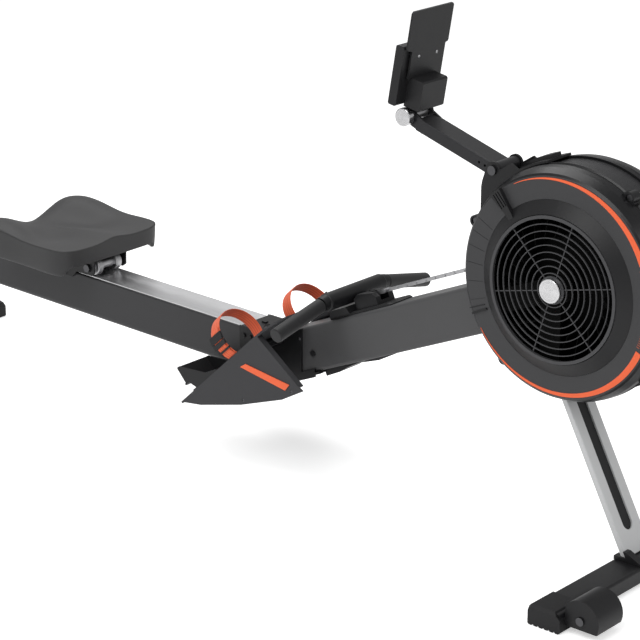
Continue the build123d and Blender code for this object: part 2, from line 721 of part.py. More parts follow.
# ---- saddle round the rear end of the beam: hinge ears, footboard arms and locking lobe ----
hinge_x = flywheel_x - 722
hinge_z = 283.0
hinge_dx = hinge_x - flywheel_x
hinge_dz = hinge_z - flywheel_z
hinge_u = -(hinge_dx * cos_b + hinge_dz * sin_b)
hinge_w = -hinge_dx * sin_b + hinge_dz * cos_b
saddle_inner = 44.3
saddle_outer = 48.3
knob_dx = hinge_dx - 30
knob_dz = hinge_dz - 88
beam_bottom = beam_top - beam_height
arm_points = [board_point(100, -12.1), board_point(236, -12.1)]
with BuildPart() as beam_saddle:
    for side in (-1, 1):
        with BuildSketch(side_sketch_plane(side * (saddle_inner + saddle_outer) / 2)):
            with BuildLine():
                Polyline((-635, -233), (-704, -262.5), (hinge_dx + 4, hinge_dz + 2),
                         (hinge_dx - 9, hinge_dz - 8), (hinge_dx - 9, hinge_dz - 62),
                         (knob_dx - 8, knob_dz + 14), (-782, -352), (-797, -362), (-797, -378),
                         (-775, -386), (-700, -370), (-600, -327), (-600, -309), (-635, -324), close=True)
            make_face()
            with Locations((hinge_dx, hinge_dz)):
                Circle(15)
            with Locations((hinge_dx, hinge_dz)):
                Circle(6 + fit, mode=Mode.SUBTRACT)
            with Locations((knob_dx, knob_dz)):
                Circle(5 + fit, mode=Mode.SUBTRACT)
        extrude(amount=(saddle_outer - saddle_inner) / 2, both=True)
        for arm in arm_points:
            with BuildSketch(Plane.XZ.offset(-side * (saddle_inner + 1))):
                with Locations((arm[0], arm[2])):
                    Circle(8)
            extrude(amount=-side * (board_outer - 3 - saddle_inner - 1))
    with BuildSketch(beam_plane):
        with Locations((664, beam_bottom - 0.1)):
            Rectangle(104, 5, align=(Align.MIN, Align.MAX))
    extrude(amount=saddle_outer, both=True)
    with BuildSketch(beam_plane):
        with BuildLine():
            Polyline((600, beam_bottom - 0.1), (665, beam_bottom - 0.1), (665, beam_bottom - 14),
                     (628, beam_bottom - 12), (600, beam_bottom - 6), close=True)
        make_face()
    extrude(amount=30, both=True)
save(beam_saddle, "beam_saddle")

with BuildPart() as hinge_pin:
    with BuildSketch(side_sketch_plane(0)):
        with Locations((hinge_dx, hinge_dz)):
            Circle(6)
    extrude(amount=52, both=True)
    for side in (-1, 1):
        with BuildSketch(side_sketch_plane(side * (saddle_outer + 0.2))):
            with Locations((hinge_dx, hinge_dz)):
                Circle(10)
        extrude(amount=-side * 5)
save(hinge_pin, "hinge_pin")

with BuildPart() as lock_knob:
    knob_y = -saddle_outer - 1
    with BuildSketch(side_sketch_plane(-saddle_inner - 0.2)):
        with Locations((knob_dx, knob_dz)):
            Circle(5)
    extrude(amount=12)
    with BuildSketch(side_sketch_plane(knob_y)):
        with Locations((knob_dx, knob_dz)):
            Circle(13)
            with PolarLocations(14.5, 6):
                Circle(3.5, mode=Mode.SUBTRACT)
    extrude(amount=18)
save(lock_knob, "lock_knob")

# ---- footboards: each a folded plate with a closed outer side ----
board_length = 338.0
side_outline = [(-873, 121), (-818, 128), (-706, 157), (-596, 196), (-541, 227), (-552, 233), (-664, 314)]
heel_edge = 37.0
for side, end in ((-1, "right"), (1, "left")):
    middle = side * (board_inner + board_outer) / 2
    with BuildPart() as footboard:
        with BuildSketch(board_plane):
            with Locations((0, middle)):
                Rectangle(board_length, board_outer - board_inner, align=(Align.MIN, Align.CENTER))
        extrude(amount=-4)
        toe_edges = footboard.edges().filter_by(lambda e: abs(e.length - 4) < 0.01)
        outer_toe = toe_edges.sort_by(Axis.Z)[-2:].sort_by(lambda e: abs(e.center().Y))[-1]
        inner_toe = toe_edges.sort_by(Axis.Z)[-2:].sort_by(lambda e: abs(e.center().Y))[0]
        fillet(outer_toe, 46)
        fillet(inner_toe, 20)
        with BuildSketch(Plane.XZ.offset(-side * (board_outer - 3))):
            Polygon(*[(flywheel_x + x, z) for x, z in side_outline], align=None)
        extrude(amount=-side * 3)
        with BuildSketch(Plane.XZ.offset(-side * (board_outer - 14))):
            with BuildLine():
                Polyline((flywheel_x - 552, 233), (flywheel_x - 664, 314), (flywheel_x - 666.4, 310.8),
                         (flywheel_x - 554.4, 229.8), close=True)
            make_face()
        extrude(amount=-side * 14)
        with BuildSketch(board_plane):
            with Locations((196, side * (board_outer - 5))):
                Rectangle(36, 3.4)
            with Locations((196, side * (board_inner + 6))):
                Rectangle(36, 3.4)
        extrude(amount=-6, mode=Mode.SUBTRACT)
    save(footboard, f"footboard_{end}")

    with BuildPart() as heel_cup:
        with BuildSketch(board_plane.offset(gap)):
            with Locations((heel_edge + 6, middle)):
                Rectangle(92, 85, align=(Align.MIN, Align.CENTER))
        extrude(amount=3)
        for edge in (board_inner + 3, board_outer - 7):
            with BuildSketch(Plane(origin=board_point(0, 0, side * edge), x_dir=(cos_f, 0, sin_f),
                                   z_dir=(0, side, 0))):
                Polygon((heel_edge, side * -20), (heel_edge, side * -60), (heel_edge + 6, side * -60),
                        (heel_edge + 62, side * -14), (heel_edge + 98, side * -(gap + 3)),
                        (heel_edge + 98, side * -gap), (heel_edge + 22, side * -gap),
                        (heel_edge + 10, side * -20), align=None)
            extrude(amount=4)
        for t_low, t_high in ((20, 60),):
            with BuildSketch(board_plane.offset(t_low)):
                with Locations((heel_edge, middle)):
                    Rectangle(4, 85, align=(Align.MIN, Align.CENTER))
            extrude(amount=t_high - t_low)
        with BuildSketch(board_plane.offset(20)):
            with Locations((heel_edge - 4, middle)):
                Rectangle(8, 88, align=(Align.MIN, Align.CENTER))
        extrude(amount=4)
    save(heel_cup, f"heel_cup_{end}")

    strap_width = 32.0
    arch_middle = side * 106
    arch_radius = 54.0
    arch_height = 36.0
    with BuildPart() as foot_strap:
        with BuildSketch(Plane(origin=board_point(196 - strap_width / 2, arch_height, arch_middle),
                               x_dir=(0, 1, 0), z_dir=(cos_f, 0, sin_f))):
            Circle(arch_radius)
            Circle(arch_radius - 1.8, mode=Mode.SUBTRACT)
            with Locations((0, 0.4 - arch_height)):
                Rectangle(300, 100, align=(Align.CENTER, Align.MAX), mode=Mode.SUBTRACT)
        extrude(amount=strap_width)
    save(foot_strap, f"foot_strap_{end}")

with BuildPart() as strap_buckles:
    for side in (-1, 1):
        for lift in (0, 13):
            reach = arch_radius + gap
            turn = radians(-4 + lift * 60 / arch_radius)
            at = Vector(*board_point(196, arch_height + reach * sin(turn),
                                     side * (106 + reach * cos(turn))))
            out = Vector(0, side * cos(turn), 0) + sin(turn) * Vector(-sin_f, 0, cos_f)
            with BuildSketch(Plane(origin=at, x_dir=(cos_f, 0, sin_f), z_dir=out)):
                Rectangle(38, 8)
            extrude(amount=4)
save(strap_buckles, "strap_buckles")

with BuildPart() as pod_stripes:
    for side in (-1, 1):
        with BuildSketch(Plane.XZ.offset(-side * board_outer)):
            Polygon(*[(flywheel_x + x, z) for x, z in ((-706, 238), (-692, 247.5), (-576, 232), (-587, 218))],
                    align=None)
        extrude(amount=-side * 1.6)
save(pod_stripes, "pod_stripes")

# ---- rail, with its coupler, track, rear leg and rear foot ----
rail_section = Plane(origin=rail_point(0, 0), x_dir=(0, -1, 0), z_dir=(-cos_r, 0, sin_r))
rail_mitre = Plane(origin=rail_point(1.2, 0), x_dir=(0, 1, 0),
                   z_dir=(-cos(radians(beam_slope - mitre)), 0, -sin(radians(beam_slope - mitre))))
with BuildPart() as rail:
    with BuildSketch(rail_section.offset(-60)):
        for inset, mode in ((0, Mode.ADD), (rail_wall, Mode.SUBTRACT)):
            half = rail_width / 2 - inset
            with BuildLine():
                FilletPolyline((half, -inset), (half, inset - rail_height), (-half, inset - rail_height),
                               (-half, -inset), radius=[4 - inset / 2, 14 - inset, 14 - inset, 4 - inset / 2],
                               close=True)
            make_face(mode=mode)
    extrude(amount=rail_length + 60)
    split(bisect_by=rail_mitre, keep=Keep.TOP)
save(rail, "rail")

track_start = 78.0
track_thick = 1.6
with BuildPart() as rail_track:
    with BuildSketch(rail_section.offset(track_start)):
        with Locations((0, track_thick / 2)):
            Rectangle(rail_width - 7, track_thick)
    extrude(amount=rail_length - track_start - 3)
save(rail_track, "rail_track")

with BuildPart() as rail_end_cap:
    with BuildSketch(rail_section.offset(rail_length)):
        with Locations((0, -rail_height / 2 + 0.8)):
            RectangleRounded(rail_width + 1, rail_height + 2.6, 8)
    extrude(amount=12)
    chamfer(rail_end_cap.faces().sort_by(Axis.X)[0].edges(), 3)
    with BuildSketch(rail_section.offset(rail_length)):
        with Locations((0, -rail_height / 2)):
            RectangleRounded(rail_width - 2 * rail_wall - 0.4, rail_height - 2 * rail_wall - 0.4, 12)
    extrude(amount=-24)
save(rail_end_cap, "rail_end_cap")

coupler_inner = rail_width / 2 + 0.05
coupler_outer = coupler_inner + 2
coupler_front = hinge_x - 13
coupler_back = 82.0
with BuildPart() as rail_coupler:
    with BuildSketch(rail_plane):
        with BuildLine():
            Polyline((12, 0.05), (coupler_back - 5, 0.05), (coupler_back - 5, 4), (12, 4), close=True)
        make_face()
    extrude(amount=coupler_outer, both=True)
    with BuildSketch(side_sketch_plane(0)):
        with Locations((hinge_dx, hinge_dz)):
            Circle(11)
        Polygon((hinge_dx, hinge_dz + 3), (hinge_dx, hinge_dz - 10.8), (hinge_dx - 16, hinge_dz - 12.6),
                (hinge_dx - 26, hinge_dz - 10), align=None)
    extrude(amount=43.5, both=True)
    with BuildSketch(side_sketch_plane(0)):
        with Locations((hinge_dx, hinge_dz)):
            Circle(6 + fit)
    extrude(amount=60, both=True, mode=Mode.SUBTRACT)
    for side in (-1, 1):
        with BuildSketch(Plane.XZ.offset(-side * (coupler_inner + coupler_outer) / 2)):
            Polygon((coupler_front, joint_z + 0.2), (coupler_front, joint_z - 86),
                    (coupler_front - 34, joint_z - 84), (rail_point(coupler_back, 0)[0], joint_z - 40),
                    (rail_point(coupler_back, 0)[0], joint_z + 5), align=None)
        extrude(amount=1, both=True)
        for bolt_u in (52, 70):
            bolt_at = rail_point(bolt_u, -16)
            with BuildSketch(Plane.XZ.offset(-side * coupler_outer)):
                with Locations((bolt_at[0], bolt_at[2])):
                    Circle(5)
            extrude(amount=-side * 3)
        with BuildSketch(rail_plane.offset(0)):
            with Locations((52, 5)):
                Rectangle(11, 5)
        extrude(amount=side * 4)
    with BuildSketch(rail_plane):
        with Locations((-20, -60)):
            Rectangle(400, 60.05, align=(Align.MIN, Align.MIN))
    extrude(amount=rail_width / 2 + 0.05, both=True, mode=Mode.SUBTRACT)
save(rail_coupler, "rail_coupler")

# ---- rear leg and foot ----
rear_leg_x = rear_foot_x + foot_depth / 2
rear_leg_half = 26.0


def rail_bottom_z(x):
    """Height of the rail's underside at X."""
    along = (joint_x - x) / cos_r
    return rail_point(along, -rail_height - 0.1)[2]


with BuildPart() as rear_leg:
    with BuildSketch(side_plane):
        low_front = rear_leg_x + rear_leg_half
        low_back = rear_leg_x - rear_leg_half
        Polygon((low_front, foot_height), (low_front + 8, rail_bottom_z(low_front + 8)),
                (low_back + 8, rail_bottom_z(low_back + 8)), (low_back, foot_height), align=None)
    extrude(amount=30, both=True)
    with BuildSketch(side_plane):
        Polygon((low_front - 3, foot_height - 5), (low_front + 5, 260), (low_back + 11, 260),
                (low_back + 3, foot_height - 5), align=None)
    extrude(amount=27, both=True, mode=Mode.SUBTRACT)
    with BuildSketch(Plane.XY.offset(foot_height)):
        with Locations((rear_leg_x, 0)):
            RectangleRounded(foot_depth - 4, 110, 8)
            Rectangle(46, 54, mode=Mode.SUBTRACT)
    extrude(amount=4)
save(rear_leg, "rear_leg")
foot_tube(rear_foot_x, rear_foot_half, "rear_foot")
foot_caps(rear_foot_x, rear_foot_half, "rear_foot_caps")

# ---- seat carriage, axles, rollers and pad ----
seat_u = joint_x - seat_x
roller_radius = 20.0
roller_w = track_thick + roller_radius + 0.05
axle_spread = 96.0
skirt_inner = 45.0
plate_low = 43.0
with BuildPart() as seat_carriage:
    with BuildSketch(rail_plane):
        with Locations((seat_u, plate_low + 1.5)):
            Rectangle(230, 3)
    extrude(amount=skirt_inner + 3.5, both=True)
    for side in (-1, 1):
        with BuildSketch(Plane(origin=rail_plane.origin + Vector(0, side * (skirt_inner + 1.75), 0),
                               x_dir=rail_plane.x_dir, z_dir=(0, 1, 0))):
            with BuildLine():
                Polyline((seat_u - 115, plate_low + 3), (seat_u + 115, plate_low + 3), (seat_u + 115, 13),
                         (seat_u + 106, 6), (seat_u + 60, 6), (seat_u + 48, -9), (seat_u - 48, -9),
                         (seat_u - 60, 6), (seat_u - 106, 6), (seat_u - 115, 13), close=True)
            make_face()
            for at in (-axle_spread, axle_spread):
                with Locations((seat_u + at, roller_w)):
                    Circle(5 + fit, mode=Mode.SUBTRACT)
        extrude(amount=1.75, both=True)
        for at in (-26, 26):
            bolt_at = rail_point(seat_u + at, -5)
            with BuildSketch(Plane.XZ.offset(-side * (skirt_inner + 3.5))):
                with Locations((bolt_at[0], bolt_at[2])):
                    Circle(3)
            extrude(amount=-side * 2)
            with BuildSketch(Plane.XZ.offset(-side * skirt_inner)):
                with Locations((bolt_at[0], bolt_at[2])):
                    Circle(3.5)
            extrude(amount=side * 2.4)
save(seat_carriage, "seat_carriage")

with BuildPart() as seat_axles:
    with BuildSketch(rail_plane):
        for at in (-axle_spread, axle_spread):
            with Locations((seat_u + at, roller_w)):
                Circle(5)
    extrude(amount=skirt_inner + 5, both=True)
    for side in (-1, 1):
        with BuildSketch(Plane(origin=rail_plane.origin + Vector(0, side * (skirt_inner + 3.6), 0),
                               x_dir=rail_plane.x_dir, z_dir=(0, 1, 0))):
            for at in (-axle_spread, axle_spread):
                with Locations((seat_u + at, roller_w)):
                    RegularPolygon(8, 6, major_radius=False)
        extrude(amount=side * 5)
save(seat_axles, "seat_axles")

for at, label in ((-axle_spread, "front_rollers"), (axle_spread, "rear_rollers")):
    with BuildPart() as rollers:
        for side in (-1, 1):
            with BuildSketch(Plane(origin=rail_plane.origin + Vector(0, side * 27, 0),
                                   x_dir=rail_plane.x_dir, z_dir=(0, 1, 0))):
                with Locations((seat_u + at, roller_w)):
                    Circle(roller_radius)
            extrude(amount=8, both=True)
        rims = rollers.edges().filter_by(GeomType.CIRCLE)
        fillet(rims, 3)
        with BuildSketch(rail_plane):
            with Locations((seat_u + at, roller_w)):
                Circle(10.5)
        extrude(amount=40, both=True)
        with BuildSketch(rail_plane):
            with Locations((seat_u + at, roller_w)):
                Circle(5 + fit)
        extrude(amount=60, both=True, mode=Mode.SUBTRACT)
    save(rollers, label)

pad_low = plate_low + 3.1
half_length = seat_length / 2
pad_corner = 28.0
skirt_low = 28.0             # the pad's rim hangs down to this height above the rail
skirt_thick = 7.0
with BuildPart() as seat_pad:
    with BuildSketch(rail_plane):
        with BuildLine():
            Polyline((seat_u - half_length, pad_low), (seat_u + half_length, pad_low))
            Line((seat_u + half_length, pad_low), (seat_u + half_length, pad_low + 54))
            Spline((seat_u + half_length, pad_low + 54), (seat_u + half_length - 45, pad_low + 52),
                   (seat_u + 10, pad_low + 36), (seat_u - half_length + 50, pad_low + 42),
                   (seat_u - half_length, pad_low + 40))
            Line((seat_u - half_length, pad_low + 40), (seat_u - half_length, pad_low))
        make_face()
    extrude(amount=seat_width / 2, both=True)
    corners = seat_pad.edges().filter_by(lambda e: abs(abs(e.center().Y) - seat_width / 2) < 0.1
                                         and abs(e.tangent_at(0.5).Z) > 0.9)
    fillet(corners, pad_corner)
    with BuildSketch(Plane(origin=rail_point(seat_u, skirt_low), x_dir=rail_plane.x_dir,
                           z_dir=(sin_r, 0, cos_r))):
        RectangleRounded(seat_length, seat_width, pad_corner)
        RectangleRounded(seat_length - 2 * skirt_thick, seat_width - 2 * skirt_thick,
                         pad_corner - skirt_thick, mode=Mode.SUBTRACT)
    extrude(amount=pad_low - skirt_low + 1)
save(seat_pad, "seat_pad")

# ---- monitor bracket on the housing's rim, arm, console ----
arm_dx = -180.0
arm_dz = 176.0
tilt_dx = -387.3
tilt_dz = 240.6
ear_inner = 31.0
ear_outer = 36.0
rim_radius = shell_radius + 1.8
with BuildPart() as monitor_bracket:
    for side in (-1, 1):
        with BuildSketch(side_sketch_plane(side * (ear_inner + ear_outer) / 2)):
            with Locations((arm_dx, arm_dz)):
                Circle(16)
            Polygon((-196, 176), (-204, 152), (-206, 140), (-206, 92), (-150, 100), (-118, 184),
                    (-140, 196), (-164, 180), align=None)
            Circle(rim_radius, mode=Mode.SUBTRACT)
            with Locations((arm_dx, arm_dz)):
                Circle(5 + fit, mode=Mode.SUBTRACT)
        extrude(amount=(ear_outer - ear_inner) / 2, both=True)
    with BuildSketch(side_sketch_plane(0)):
        Circle(rim_radius + 4.5)
        Circle(rim_radius, mode=Mode.SUBTRACT)
        Polygon((0, 0), (-400, 200), (-400, -400), (400, -400), (400, 400), (-110, 400), align=None,
                mode=Mode.SUBTRACT)
    extrude(amount=ear_outer, both=True)
    with BuildSketch(side_sketch_plane(0)):
        Circle(rim_radius + 12)
        Circle(rim_radius, mode=Mode.SUBTRACT)
        Polygon((0, 0), (-250, 400), (-400, 0), (-400, -400), (400, -400), (400, 400), (-120, 400),
                align=None, mode=Mode.SUBTRACT)
    extrude(amount=14, both=True)
save(monitor_bracket, "monitor_bracket")

arm_angle = degrees(atan2(tilt_dz - arm_dz, tilt_dx - arm_dx))
arm_span = hypot(tilt_dz - arm_dz, tilt_dx - arm_dx)
arm_plane = Plane(origin=(flywheel_x + arm_dx, 0, flywheel_z + arm_dz),
                  x_dir=(cos(radians(arm_angle)), 0, sin(radians(arm_angle))), z_dir=(0, -1, 0))
arm_sag = 7.0
cheek_inner = 20.0
with BuildPart() as monitor_arm:
    with BuildSketch(arm_plane):
        with Locations((8, arm_sag)):
            Rectangle(arm_span - 32, 25, align=(Align.MIN, Align.CENTER))
        Circle(13)
    extrude(amount=25, both=True)
    long_edges = monitor_arm.edges().filter_by(lambda e: e.length > arm_span * 0.7)
    fillet(long_edges, 2.5)
    with BuildSketch(arm_plane):
        Circle(13)
    extrude(amount=ear_inner - 0.4, both=True)
    with BuildSketch(arm_plane):
        Circle(5 + fit)
    extrude(amount=60, both=True, mode=Mode.SUBTRACT)
    for side in (-1, 1):
        with BuildSketch(Plane(origin=arm_plane.origin + Vector(0, side * (cheek_inner + 2.5), 0),
                               x_dir=arm_plane.x_dir, z_dir=(0, -1, 0))):
            with Locations((arm_span, 0)):
                Circle(14)
            Polygon((arm_span, -14), (arm_span - 40, arm_sag - 12), (arm_span - 40, arm_sag + 12),
                    (arm_span, 14), align=None)
            with Locations((arm_span, 0)):
                Circle(4 + fit, mode=Mode.SUBTRACT)
        extrude(amount=2.5, both=True)
        with BuildSketch(Plane(origin=arm_plane.origin + Vector(0, side * (cheek_inner + 4.9), 0),
                               x_dir=arm_plane.x_dir, z_dir=(0, side, 0))):
            with Locations((arm_span, 0)):
                Circle(16.5)
                Circle(4 + fit, mode=Mode.SUBTRACT)
        extrude(amount=5.1)
    for hole in (26, 40):
        with BuildSketch(arm_plane):
            with Locations((hole, arm_sag)):
                Circle(2.6)
        extrude(amount=40, both=True, mode=Mode.SUBTRACT)
save(monitor_arm, "monitor_arm")

tilt_lean = 10.0
cos_t = cos(radians(tilt_lean))
sin_t = sin(radians(tilt_lean))
console_plane = Plane(origin=(flywheel_x + tilt_dx, 0, flywheel_z + tilt_dz), x_dir=(cos_t, 0, -sin_t),
                      z_dir=(0, -1, 0))
console_face = Plane(origin=console_plane.origin, x_dir=(0, -1, 0), z_dir=(-cos_t, 0, sin_t))
with BuildPart() as tilt_bolt:
    with BuildSketch(console_plane):
        Circle(4)
    extrude(amount=36, both=True)
    with BuildSketch(Plane.XZ.offset(30.2)):
        with Locations((flywheel_x + tilt_dx, flywheel_z + tilt_dz)):
            Circle(17.5)
    extrude(amount=14)
    fillet(tilt_bolt.edges().filter_by(GeomType.CIRCLE).sort_by(Axis.Y)[0], 2)
    with BuildSketch(Plane.XZ.offset(-30.2)):
        with Locations((flywheel_x + tilt_dx, flywheel_z + tilt_dz)):
            RegularPolygon(8, 6)
    extrude(amount=-6)
save(tilt_bolt, "tilt_bolt")

console_half = 62.0
screen_low = 66.0
screen_high = 128.0
button_h = 44.0
with BuildPart() as console:
    with BuildSketch(console_plane):
        with Locations((-15.5, 81)):
            RectangleRounded(19, 116, 4)
    extrude(amount=console_half, both=True)
    with BuildSketch(console_plane):
        Polygon((-7, 19), (28, 19), (31, 22), (31, 74), (28, 77), (-7, 77), align=None)
    extrude(amount=36, both=True)
    with BuildSketch(console_plane):
        Circle(12)
        Polygon((-11, 0), (11, 0), (9, 24), (-12, 24), align=None)
        Circle(4 + fit, mode=Mode.SUBTRACT)
    extrude(amount=cheek_inner - 0.5, both=True)
    with BuildSketch(console_plane):
        with Locations((-4.5, 100)):
            Rectangle(5, 50)
    extrude(amount=36, both=True)
    with BuildSketch(console_face.offset(-1)):
        with BuildLine():
            Polyline((-45, 76), (-45, 130), (-58, 133), (-60, 136), (-60, 205), (-56, 209), (56, 209),
                     (60, 205), (60, 136), (58, 133), (45, 130), (45, 76), close=True)
        make_face()
    extrude(amount=4)
    with BuildSketch(console_face.offset(25)):
        with Locations((0, (screen_low + screen_high) / 2)):
            RectangleRounded(100.4, screen_high - screen_low + 0.4, 4.2)
    extrude(amount=-2.2, mode=Mode.SUBTRACT)
    with BuildSketch(console_face.offset(25)):
        with Locations((0, button_h)):
            Circle(9.3)
    extrude(amount=-6, mode=Mode.SUBTRACT)
save(console, "console")

with BuildPart() as console_screen:
    with BuildSketch(console_face.offset(22.9)):
        with Locations((0, (screen_low + screen_high) / 2)):
            RectangleRounded(100, screen_high - screen_low, 4)
    extrude(amount=2)
save(console_screen, "console_screen")

with BuildPart() as console_button:
    with BuildSketch(console_face.offset(21.5)):
        with Locations((0, button_h)):
            Circle(9)
    extrude(amount=6)
    fillet(console_button.edges().filter_by(GeomType.CIRCLE).sort_by(Axis.X)[0], 1)
save(console_button, "console_button")

# ---- bolts that stay with the frame ----
nut_width = 30.0
with BuildPart() as frame_bolts:
    for side in (-1, 1):
        with BuildSketch(side_sketch_plane(side * (fork_outer + 0.1))):
            RegularPolygon(nut_width / 2, 6, major_radius=False)
            Circle(10 + fit, mode=Mode.SUBTRACT)
        extrude(amount=-side * 8)
    for angle in boss_angles:
        with BuildSketch(flywheel_plane):
            with Locations((boss_radius * cos(radians(angle)), boss_radius * sin(radians(angle)))):
                Circle(3)
        extrude(amount=lip_y + 15.2, both=True)
        for side in (-1, 1):
            with BuildSketch(side_sketch_plane(side * (lip_y + 15.1))):
                with Locations((boss_radius * cos(radians(angle)), boss_radius * sin(radians(angle)))):
                    Circle(6)
            extrude(amount=-side * 2.8)
    with BuildSketch(side_sketch_plane(0)):
        with Locations((arm_dx, arm_dz)):
            Circle(5)
    extrude(amount=ear_outer + 4, both=True)
    for side in (-1, 1):
        with BuildSketch(side_sketch_plane(side * (ear_outer + 0.1))):
            with Locations((arm_dx, arm_dz)):
                Circle(9)
        extrude(amount=-side * 5)
        with BuildSketch(Plane.XZ.offset(-side * wheel_middle)):
            with Locations((wheel_x, wheel_z)):
                Circle(4)
        extrude(amount=fender_half + 2, both=True)
        for end in (-1, 1):
            with BuildSketch(Plane.XZ.offset(-side * wheel_middle + end * (fender_half + 0.1))):
                with Locations((wheel_x, wheel_z)):
                    Circle(8)
            extrude(amount=end * 3)
        bolt_at = beam_point(668, -16)
        with BuildSketch(Plane.XZ.offset(-side * (beam_width / 2 + 0.1))):
            with Locations((bolt_at[0], bolt_at[2])):
                Circle(6)
        extrude(amount=-side * 3)
    with BuildSketch(beam_plane):
        with Locations((bungee_turn_u - 1, (bungee_top + pulley_w) / 2)):
            Circle(bungee_bend - bungee_radius - 0.6)
    extrude(amount=beam_width / 2 - beam_wall - 0.1, both=True)
    with BuildSketch(beam_plane):
        with Locations((anchor_u - 6.8, -47.5)):
            Rectangle(12, 6.2)
        with Locations((anchor_u - 1.1, 25)):
            Rectangle(14, 20.2)
    extrude(amount=12, both=True)
save(frame_bolts, "frame_bolts")
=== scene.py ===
import bmesh
import bpy
import numpy as np
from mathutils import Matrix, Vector


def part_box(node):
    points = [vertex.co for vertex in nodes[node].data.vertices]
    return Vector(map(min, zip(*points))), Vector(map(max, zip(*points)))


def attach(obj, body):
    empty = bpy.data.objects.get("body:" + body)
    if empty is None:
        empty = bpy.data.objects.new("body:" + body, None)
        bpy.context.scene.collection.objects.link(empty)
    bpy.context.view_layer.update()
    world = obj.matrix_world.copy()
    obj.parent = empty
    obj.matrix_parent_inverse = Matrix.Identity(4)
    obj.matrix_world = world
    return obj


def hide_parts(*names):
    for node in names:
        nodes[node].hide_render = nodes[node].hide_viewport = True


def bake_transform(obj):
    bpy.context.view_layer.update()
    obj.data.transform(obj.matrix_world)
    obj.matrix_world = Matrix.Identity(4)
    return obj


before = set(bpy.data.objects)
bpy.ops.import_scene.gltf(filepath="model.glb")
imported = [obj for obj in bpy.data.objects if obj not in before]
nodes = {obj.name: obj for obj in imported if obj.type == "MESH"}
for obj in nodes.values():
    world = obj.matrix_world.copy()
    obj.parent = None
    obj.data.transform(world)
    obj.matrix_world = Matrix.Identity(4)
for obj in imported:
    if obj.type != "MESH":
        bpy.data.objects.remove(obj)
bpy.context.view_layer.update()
scene = bpy.context.scene
rad = np.radians
print("frame loaded:", len(nodes), "nodes")

# the hub comes from the frame; slopes and places round it follow the CAD part
axleLow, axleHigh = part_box("flywheel_axle")
hub = np.array(((axleLow.x + axleHigh.x) / 2, 0.0, (axleLow.z + axleHigh.z) / 2))   # middle of the axle
beamSlope = rad(23.3)
railSlope = rad(1.2)
footSlope = rad(42.7)
consoleLean = rad(10.0)
across = np.array((0.0, 1.0, 0.0))
beamBack = np.array((-np.cos(beamSlope), 0, -np.sin(beamSlope)))    # rearward along the beam
beamUp = np.array((-np.sin(beamSlope), 0, np.cos(beamSlope)))       # square to the beam
railBack = np.array((-np.cos(railSlope), 0, np.sin(railSlope)))     # rearward along the rail
railUp = np.array((np.sin(railSlope), 0, np.cos(railSlope)))        # square to the rail
boardUp = np.array((np.cos(footSlope), 0, np.sin(footSlope)))       # from heel to toe
boardOut = np.array((-np.sin(footSlope), 0, np.cos(footSlope)))     # square to the footboard
heel = hub + np.array((-0.873, 0, -0.419))          # lower end of the footboards
joint = hub + np.array((-0.725, 0, -0.2705))        # folding pin
tiltAxis = hub + np.array((-0.3873, 0, 0.2406))     # pivot of the console
consoleFront = np.array((np.cos(consoleLean), 0, -np.sin(consoleLean)))
consoleUp = np.array((np.sin(consoleLean), 0, np.cos(consoleLean)))


# mesh helpers
def gridMesh(name, points, uvSize=None):
    # quads between neighbours of a (u, v) grid that closes in v, with a fan to the middle of each end row
    rows, columns = points.shape[:2]
    index = np.arange(rows * columns).reshape(rows, columns)
    here, there = index[:-1], index[1:]
    nextHere, nextThere = np.roll(here, -1, axis=1), np.roll(there, -1, axis=1)
    quads = np.stack((here, there, nextThere, nextHere), axis=-1).reshape(-1, 4)
    verts = points.reshape(-1, 3)
    faces = quads.tolist()
    for row, flip in ((0, False), (rows - 1, True)):
        ring = index[row]
        middle = len(verts)
        verts = np.vstack((verts, points[row].mean(axis=0)))
        fan = np.stack((ring, np.roll(ring, -1), np.full(columns, middle)), axis=-1)
        faces += (fan[:, ::-1] if flip else fan).tolist()
    mesh = bpy.data.meshes.new(name)
    mesh.from_pydata(verts.tolist(), [], faces)
    if uvSize is not None:
        u = np.linspace(0, uvSize[0], rows)[:, None] * np.ones(columns)
        v = np.ones(rows)[:, None] * np.linspace(0, uvSize[1], columns)
        flat = np.stack((u, v), axis=-1).reshape(-1, 2)
        flat = np.vstack((flat, np.zeros((len(verts) - len(flat), 2))))
        corner = np.zeros(len(mesh.loops), dtype=np.int32)
        mesh.loops.foreach_get("vertex_index", corner)
        layer = mesh.uv_layers.new(name="along")
        layer.data.foreach_set("uv", flat[corner].ravel().astype(np.float32))
    return mesh


def tidyMesh(mesh, smooth=True, sharpAngle=40):
    # doubles merged, faces turned outwards, edges sharper than the angle kept crisp
    work = bmesh.new()
    work.from_mesh(mesh)
    bmesh.ops.remove_doubles(work, verts=work.verts, dist=1e-6)
    bmesh.ops.recalc_face_normals(work, faces=work.faces)
    work.to_mesh(mesh)
    work.free()
    mesh.polygons.foreach_set("use_smooth", [smooth] * len(mesh.polygons))
    if smooth:
        mesh.set_sharp_from_angle(angle=rad(sharpAngle))
    mesh.update()
    return mesh


def addPiece(name, mesh, material, body, replaces=()):
    piece = bpy.data.objects.new(name, mesh)
    scene.collection.objects.link(piece)
    mesh.materials.append(material)
    if body:
        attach(piece, body)
    if replaces:
        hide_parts(*replaces)
    return piece


def joinMeshes(name, parts):
    # one mesh from (vertices, faces) pairs
    verts, faces, start = [], [], 0
    for points, polygons in parts:
        verts.append(points)
        faces += [[corner + start for corner in polygon] for polygon in polygons]
        start += len(points)
    mesh = bpy.data.meshes.new(name)
    mesh.from_pydata(np.vstack(verts).tolist(), [], faces)
    return mesh


